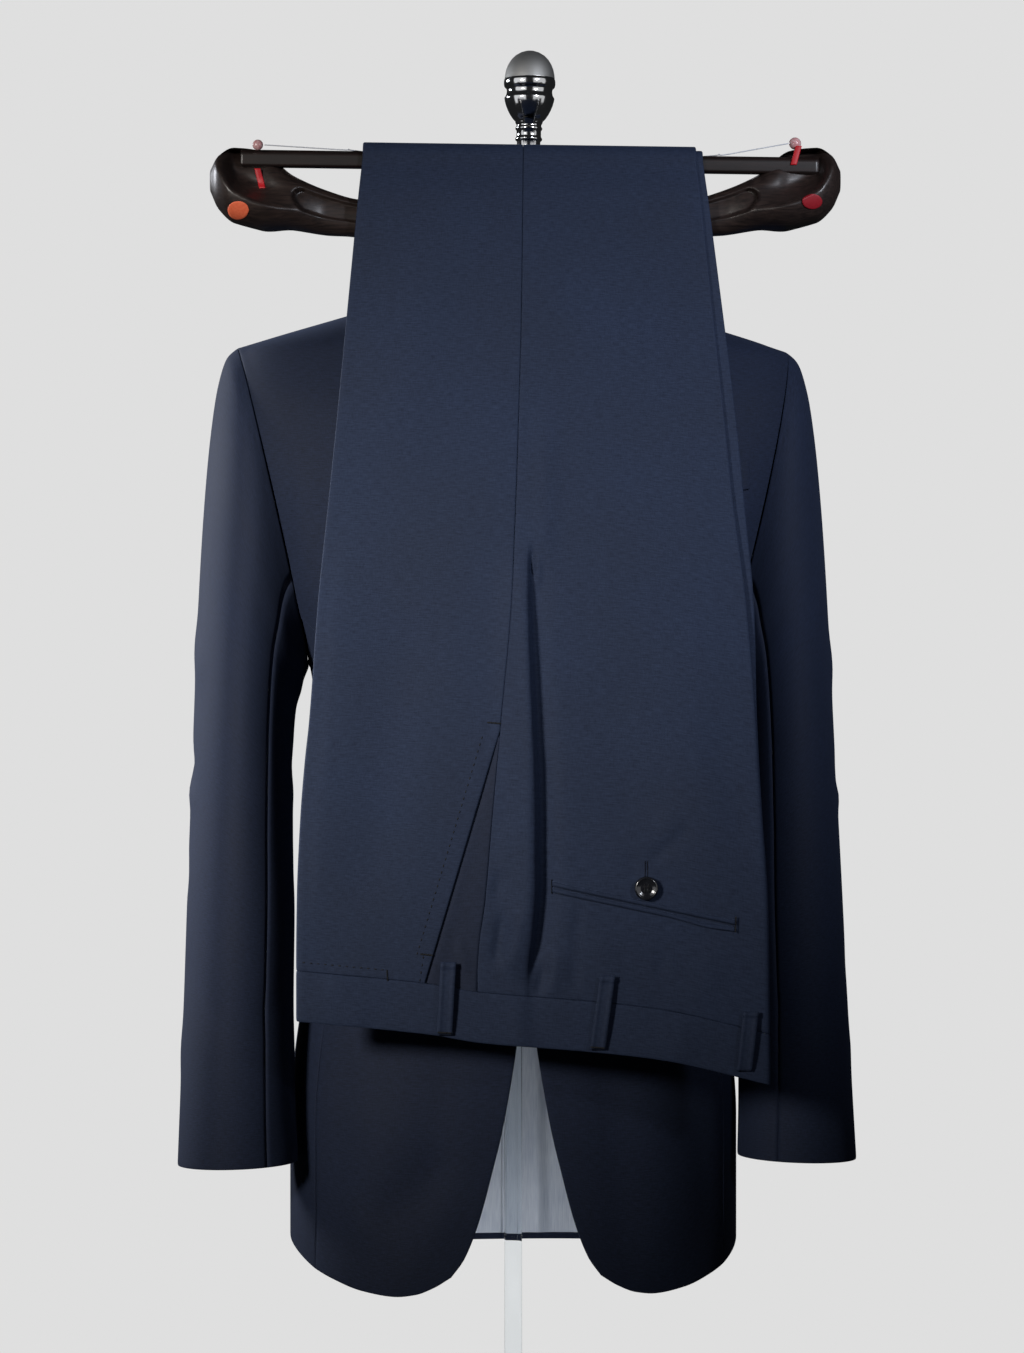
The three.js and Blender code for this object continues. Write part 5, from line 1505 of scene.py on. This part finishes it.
def make_stitches():
    top_x, top_z = POCKET_TOP
    low_x, low_z = POCKET_BOTTOM
    beside = [leg_line(top_x - 13, top_z - 4, low_x - 11, low_z + 4, 0.1, 60)]
    x = np.linspace(-157, -98, 30)
    above = [on_leg("right", x, waist_seam(x) + 6.8, 0.1)]
    hem = [leg_line(low_x - 6.5, low_z + 1, low_x - 9, low_z - 16, 0.1)]
    stitches("pick_stitches", beside + above + hem, 5.2, 2.3, 0.42, 0.0, SILK)
    tacks = [
        leg_line(top_x - 8.6, top_z + 7.5, top_x + 1, top_z + 6.8, 0.2),
        leg_line(low_x - 8.5, low_z + 3.5, low_x + 0.4, low_z + 2.6, 0.2),
        leg_line(-94.6, 379.5, -94.2, 371.5, 0.2),
        leg_line(JET[2] + 0.6, 419.5, JET[2] + 0.2, 408, 2.6),
        leg_line(JET[0] - 0.4, 447, JET[0] - 0.4, 437, 1.4),
        leg_line(-56.4, 333.2, -46.8, 332.6, 4.3),
        leg_line(58, 322.2, 68, 321.4, 4.3),
    ]
    stitches("bar_tacks", tacks, 0.55, 1.5, 0.3, math.radians(78), SILK)
    hole = [
        leg_line(99.6 + dx, 461.2, 99.6 + dx, 449.6, 0.15) for dx in (-0.85, 0.85)
    ]
    stitches("buttonhole", hole, 0.5, 1.3, 0.26, math.radians(90), SILK)


make_stitches()


# ------------------------------------------------------------ buttons

POCKET_BUTTON = (99.6, 441, 9, 2.6)  # x, z, radius, height
FRONT_BUTTONS = (("upper", 0, 492, LAP), ("lower", -16, 392, 0))  # x, z, what it laps over
FRONT_BUTTON_SIZE = (10, 3)


def button(name, centre, radius, high, nodes):
    """A moulded horn button that faces forwards: a raised rim, a dished middle, four holes."""
    r = np.concatenate([np.linspace(0, 0.97, 34)[1:], [1.0, 1.0, 0.985]]) * radius
    angle = np.linspace(0, 2 * math.pi, 72, endpoint=False)
    rr, aa = np.meshgrid(r, angle, indexing="ij")
    share = rr / radius
    rim = 0.34 * bell(share - 0.84, 0.10)
    dish = -0.22 * smooth((0.68 - share) / 0.2) * high / 2.6
    front = high * (0.84 + rim + dish) - 0.9 * smooth((share - 0.93) / 0.07) ** 2
    for k in range(4):
        turn = math.radians(45 + 90 * k)
        hx, hz = 0.2 * radius * math.cos(turn), 0.2 * radius * math.sin(turn)
        away = np.hypot(rr * np.cos(aa) - hx, rr * np.sin(aa) - hz)
        front = front - 1.3 * smooth((0.085 * radius - away) / 0.3 + 0.5)
    front[-1] = 0.0
    front[-2] = high * 0.35
    cx, cy, cz = centre
    rings = points(cx + rr * np.cos(aa), cy - front, cz + rr * np.sin(aa))
    closed_loft(name, rings, HORN, nodes)


def button_thread(name, centre, radius, high):
    """Two bars of thread between the button's four holes."""
    cx, cy, cz = centre
    d = 0.2 * radius * math.sqrt(0.5)
    y = cy - high * 0.84
    lines = [
        np.array([[cx + s * d, y, cz - d * 1.1], [cx + s * d, y, cz + d * 1.1]]) for s in (-1, 1)
    ]
    stitches(name, lines, 1.2 * d, 2.9 * d, 0.42, 0.0, SILK)


def make_buttons():
    x, z, r, high = POCKET_BUTTON
    seat = on_leg("right", np.array([x]), np.array([z]), 3.4)[0]
    button("pocket_button", seat, r, high, ["back_pocket_button"])
    button_thread("pocket_button_thread", seat, r, high)
    for word, bx, bz, lap in FRONT_BUTTONS:
        front = float(look(BODY, "z", "front", bz))
        seat = turned_form(np.array([[bx, -front - lap - CLEAR, bz]], float))[0]
        button(f"jacket_button_{word}", seat, *FRONT_BUTTON_SIZE, [f"front_button_{word}"])


make_buttons()


# ------------------------------------------------------------ the hanger

# A hanger arm from its middle outwards: height of its middle line, depth and height.
ARM = rows(
    "x z deep high",
    (6, 930, 21, 36),
    (60, 937, 20, 31),
    (118, 946, 22, 29),
    (140, 950, 25, 34),
    (165, 957.5, 46, 41),
    (190, 967, 60, 60),
    (210, 971, 54, 57),
    (222, 973, 38, 40),
    (228, 974, 14, 16),
)
# The dished face of a shoulder: its lower edge, and how deep it is cut behind that edge.
DISH = rows(
    "x edge deep",
    (128, 948, 0), (150, 949, 2), (165, 950, 8), (180, 951.5, 17), (190, 954, 24),
    (200, 958.3, 26), (210, 964.4, 24), (217, 973.4, 11), (222, 983, 4), (228, 986, 0),
)
DISH_HALF = 18
GROOVE = (0.185, 0.485, 166, 6.5)  # middle and half of its height as shares, its end, its depth


def arm_point(side, along, angle):
    """A point of a hanger arm; the angle turns from the back over the top to the front."""
    along, angle = np.broadcast_arrays(np.asarray(along, float), np.asarray(angle, float))

    def soft(value):
        return np.sign(value) * np.abs(value) ** 0.85

    deep, high = look(ARM, "x", "deep", along) / 2, look(ARM, "x", "high", along) / 2
    share = soft(np.sin(angle))
    z = look(ARM, "x", "z", along) + high * share
    y = deep * soft(np.cos(angle))
    front = smooth(-np.cos(angle) * 5)
    t = np.clip((z - look(DISH, "x", "edge", along)) / DISH_HALF, 0, 1)
    y = y + look(DISH, "x", "deep", along) * (1 - (1 - t) ** 1.6) * smooth(-np.cos(angle) * 3)
    middle, half, end, depth = GROOVE
    across = (share - middle) / half
    inside = smooth((1 - np.abs(across)) / 0.16)
    reach = end - 9 * across**2
    y = y + depth * inside * smooth((reach - along) / 2.2) * front
    return points(HANGER_X + side * (along + 10), HANGER_Y + np.minimum(y, deep), z)


def arm_front(side, x, z):
    """The y of an arm's front face at places x, z."""
    angle = np.radians(np.linspace(92, 268, 240))
    out = []
    for px, pz in zip(np.ravel(x), np.ravel(z)):
        ring = arm_point(side, (px - HANGER_X) * side - 10, angle)
        out.append(np.interp(-pz, -ring[:, 2], ring[:, 1]))
    return np.array(out).reshape(np.shape(x))


def curve_through(stations, count):
    """Points along a smooth curve through stations, by Catmull and Rom's rule."""
    p = np.array(stations, float)
    p = np.concatenate([[2 * p[0] - p[1]], p, [2 * p[-1] - p[-2]]])
    out = []
    for i in range(1, len(p) - 2):
        t = np.linspace(0, 1, count, endpoint=False)[:, None]
        a, b, c, d = p[i - 1], p[i], p[i + 1], p[i + 2]
        cubic = (2 * a - 5 * b + 4 * c - d) * t**2 + (3 * b - a - 3 * c + d) * t**3
        out.append(0.5 * (2 * b + (c - a) * t + cubic))
    return np.concatenate([*out, [p[-2]]])


def tube(name, path, radius, sides, material, nodes):
    """A round wire or thread along a path."""
    tangent = unit(np.gradient(path, axis=0))
    across = np.zeros_like(path)
    across[0] = unit(np.cross(tangent[0], [0.3, 0.2, 0.9]))
    for k in range(1, len(path)):
        across[k] = unit(across[k - 1] - tangent[k] * np.dot(across[k - 1], tangent[k]))
    over = np.cross(tangent, across)
    angle = np.linspace(0, 2 * math.pi, sides, endpoint=False)[None, :, None]
    ring = across[:, None] * np.cos(angle) + over[:, None] * np.sin(angle)
    return closed_loft(name, path[:, None] + ring * radius, material, nodes)


def make_arms():
    along = np.unique(np.concatenate([np.arange(6, 224, 1.6), np.linspace(224, 228, 5)]))
    angle = np.linspace(0, 2 * math.pi, 96, endpoint=False)
    left = arm_point(-1, along[:, None], angle[None, :])[::-1]
    right = arm_point(1, along[:, None], angle[None, :])
    rings = np.concatenate([left, right])
    closed_loft("hanger_shoulders", rings, WENGE, ["hanger_arms"])


def make_bar():
    r, h, c = BAR_D / 2, BAR_H, 2.2
    corner = np.radians(np.linspace(180, 270, 7))
    low_left = np.stack([-r + c + c * np.cos(corner), -h + r + c + c * np.sin(corner)], axis=1)
    low_right = low_left[::-1] * [-1, 1]
    arc = np.radians(np.linspace(0, 180, 25))
    top = np.stack([r * np.cos(arc), 0.92 * r * np.sin(arc)], axis=1)
    profile = np.concatenate([low_left, low_right, top])
    run = np.arange(BAR_LEFT + 2, BAR_RIGHT, 6)
    x = np.concatenate([[BAR_LEFT, BAR_LEFT + 0.4], run, [BAR_RIGHT]])
    inset = np.where(x < BAR_LEFT + 0.2, 0.9, 1.0)[:, None]
    middle = ARC_Z + BAR_SLOPE * (x[:, None] - HANGER_X)
    y = HANGER_Y + profile[None, :, 0] * inset
    rings = points(x[:, None] + 0 * y, y, middle + profile[None, :, 1] * inset)
    closed_loft("trouser_bar", rings, BAR_WOOD, ["hanger_bar"])


def make_hook():
    stations = [
        (0, 0), (0, -18), (-3, -36), (-16, -46), (-22, -62), (-14, -79), (3, -85), (19, -76),
        (23, -62),
    ]
    top = ARM["z"][0] - ARM["high"][0] / 2 - 0.5
    path = curve_through([(HANGER_X + x, HANGER_Y, top + z) for x, z in stations], 10)
    tube("hook", path, 1.8, 16, STEEL, ["hanger_hook"])


# Paper discs on the shoulders' undersides: their middle and their half width and height.
DISCS = [
    (-1, "orange", -206.5, 949.5, 8.2, 6.2, ORANGE_PAPER),
    (1, "crimson", 224.0, 955.5, 7.8, 5.4, CRIMSON_PAPER),
]


def make_discs():
    for side, word, cx, cz, wide, high, material in DISCS:
        r = np.linspace(0.02, 1, 9)[:, None]
        angle = np.linspace(0, 2 * math.pi, 49)[None, :]
        x, z = cx + wide * r * np.cos(angle), cz + high * r * np.sin(angle)
        face = points(x, arm_front(side, x, z) - 0.9, z)
        back = face + [0, 0.7, 0]
        rings = np.concatenate([face, back[::-1]])[:, :-1]
        closed_loft(
            f"paper_disc_{word}", rings, material, [f"hanger_disc_{word}"]
        )


# Red ties on the shoulders: upper and lower end on the face, and the bead above each.
TIES = [
    (-1, "right", (-193.2, 983.0), (-189.4, 968.0), (-192.5, -174, 1000), 4.0),
    (1, "left", (215.4, 1000.0), (211.4, 985.6), (213, -164, 1002.5), 4.6),
]
CROSSINGS = {"right": -121, "left": 152}  # where the threads turn round the bar
FINIAL_NECK, KNOT_OFF = (13, -6, 1004.0), 10.5


def make_ties():
    for side, word, upper, lower, bead, radius in TIES:
        v = np.linspace(0, 1, 16)[None, :]
        u = np.linspace(-1, 1, 7)[:, None]
        x = lerp(upper[0], lower[0], v) + 2.4 * u
        z = lerp(upper[1], lower[1], v) + 0 * u
        y = np.minimum(arm_front(side, x, z), HANGER_Y - BAR_D / 2) - 1.2 + 0.35 * u**2
        places, faces, uv = shell(points(x, y, z), 1.0, -1)
        obj = mesh_object(f"red_tie_{word}", places, faces, RUBBER, uv)
        settle(obj, [f"hanger_tie_{word}"])
        t = np.radians(np.linspace(1, 179, 15))[:, None]
        around = np.linspace(0, 2 * math.pi, 24, endpoint=False)[None, :]
        x = bead[0] + radius * np.sin(t) * np.cos(around)
        y = bead[1] + radius * 0.8 * np.sin(t) * np.sin(around)
        rings = points(x, y, bead[2] + radius * np.cos(t) + 0 * x)
        closed_loft(f"bead_{word}", rings, BEAD, [f"thread_bead_{word}"])


def make_threads():
    """Each thread runs from its bead, half round the bar and back to the finial's neck."""
    for side, word, _, _, bead, _ in TIES:
        cross = CROSSINGS[word]
        middle = ARC_Z + BAR_SLOPE * (cross - HANGER_X)

        def turn(degrees, dx):
            angle, r = math.radians(degrees), BAR_D / 2 + 0.8
            y = HANGER_Y - r * math.cos(angle)
            return np.array([cross + dx, y, middle + r * math.sin(angle)])

        start = np.array(bead) + [-side * 5, 0, 0]
        end = np.array(FINIAL_NECK) + [side * KNOT_OFF, 0, 0]
        turns = [turn(62, side * 7), turn(88, side * 3.5), turn(112, 0)]
        near = lerp(start, turns[0], 0.5)
        far = [lerp(turns[-1], end, t) for t in (0.25, 0.625, 1)]
        path = curve_through([start, near, *turns, *far], 8)
        tube(f"nylon_thread_{word}", path, 0.45, 8, NYLON, [f"thread_{word}"])


make_arms()
make_bar()
make_hook()
make_discs()
make_ties()
make_threads()


# ------------------------------------------------------------ the dress form and its stand

FORM_BOTTOM_Z, FORM_LEAN = 322, math.radians(1)
# The padded body, from its open-cut bottom to the neck, with the same three reaches as BODY.
TORSO = rows(
    "z side front back",
    (322, 132, 88, 76),
    (328, 142, 98, 84),
    (360, 146, 100, 86),
    (450, 136, 98, 78),
    (530, 139, 105, 84),
    (607, 148, 114, 94),
    (700, 166, 112, 98),
    (780, 184, 98, 92),
    (830, 192, 80, 80),
    (850, 180, 68, 72),
    (863, 152, 60, 64),
    (876, 118, 52, 57),
    (888, 84, 46, 50),
    (898, 66, 42, 46),
    (912, 58, 40, 43),
    (948, 54, 38, 40),
)
CAP = [
    (0, 948.4), (40, 948.4), (41.4, 949.2), (42, 951.4), (42, 957), (41.2, 958.8), (39, 959.6),
    (0, 959.6),
]
FINIAL = [
    (0, 960), (27, 960), (27.4, 961), (27.4, 964), (26.6, 965.4), (18, 969), (13.5, 974),
    (11, 982),
    (9.6, 994), (9, 1008), (9.2, 1020), (9.4, 1027), (9.6, 1027.6), (10.5, 1028.2), (10.8, 1029.2),
    (10.5, 1030.2), (9.9, 1030.8), (9.8, 1032), (9.8, 1036), (10.4, 1036.6), (10.8, 1037.6),
    (10.5, 1038.6), (9.9, 1039.2), (9.9, 1040.6), (10.4, 1041.4), (10.9, 1042.4), (11, 1043.4),
    (13, 1045.4), (15.2, 1048.6), (17.2, 1052.4), (18.8, 1056.4), (19.8, 1060.2), (20, 1061.6),
    (19.8, 1062.4), (19.2, 1063), (18.6, 1064.4), (18.2, 1066.4), (18.2, 1068.4), (18.8, 1069.8),
    (19.7, 1070.4), (20.3, 1071.4), (20.6, 1073.4), (20.6, 1075.2), (20.3, 1076.6), (19.9, 1077.2),
    (20, 1078), (19.7, 1081), (18.8, 1085), (17.2, 1089), (14.8, 1092.8), (11.6, 1096), (7.6, 1098.4),
    (3.6, 1099.7), (0, 1100),
]


def leaning(places):
    """Leans the form a little about its lowest edge."""
    c, s = math.cos(FORM_LEAN), math.sin(FORM_LEAN)
    x, y, z = np.moveaxis(places, -1, 0)
    up = z - FORM_BOTTOM_Z
    return points(x * c + up * s, y, FORM_BOTTOM_Z - x * s + up * c)


def make_form():
    z = np.unique(np.concatenate([[322, 323, 325, 328], np.arange(332, 948, 7), [948]]))[:, None]
    angle = np.linspace(0, 2 * math.pi, 96, endpoint=False)[None, :]
    c, s = np.cos(angle), np.sin(angle)
    reach = np.where(s < 0, look(TORSO, "z", "front", z), look(TORSO, "z", "back", z))
    rings = points(look(TORSO, "z", "side", z) * shaped(c), reach * shaped(s), z + 0 * c)
    rings = leaning(turned_form(rings))
    closed_loft("form_body", rings, JERSEY, ["form_torso"])
    revolve("neck_cap", finer(CAP, 3), 96, WENGE, ["form_neck_cap"], leaning)
    revolve("finial", FINIAL, 96, SILVER, ["form_finial"], leaning)


BASE = [(0, 0), (159, 0), (160, 1), (160, 10), (159.4, 11.4), (158, 12), (0, 12)]
ROD = [(0, 12.4), (6.5, 12.4), (7, 13), (7, 320.8), (6.5, 321.4), (0, 321.4)]


def make_stand():
    revolve("rod", ROD, 64, ACRYLIC, ["stand_rod"])
    revolve("base", BASE, 128, ACRYLIC, ["stand_base"])


make_form()
make_stand()

def list_polished():
    """The pieces that mirror the large cards."""
    for thing in list(bpy.context.scene.objects):
        if thing.type == "MESH" and thing.data.materials[0] in (SILVER, STEEL, HORN):
            POLISHED.objects.link(thing)


list_polished()
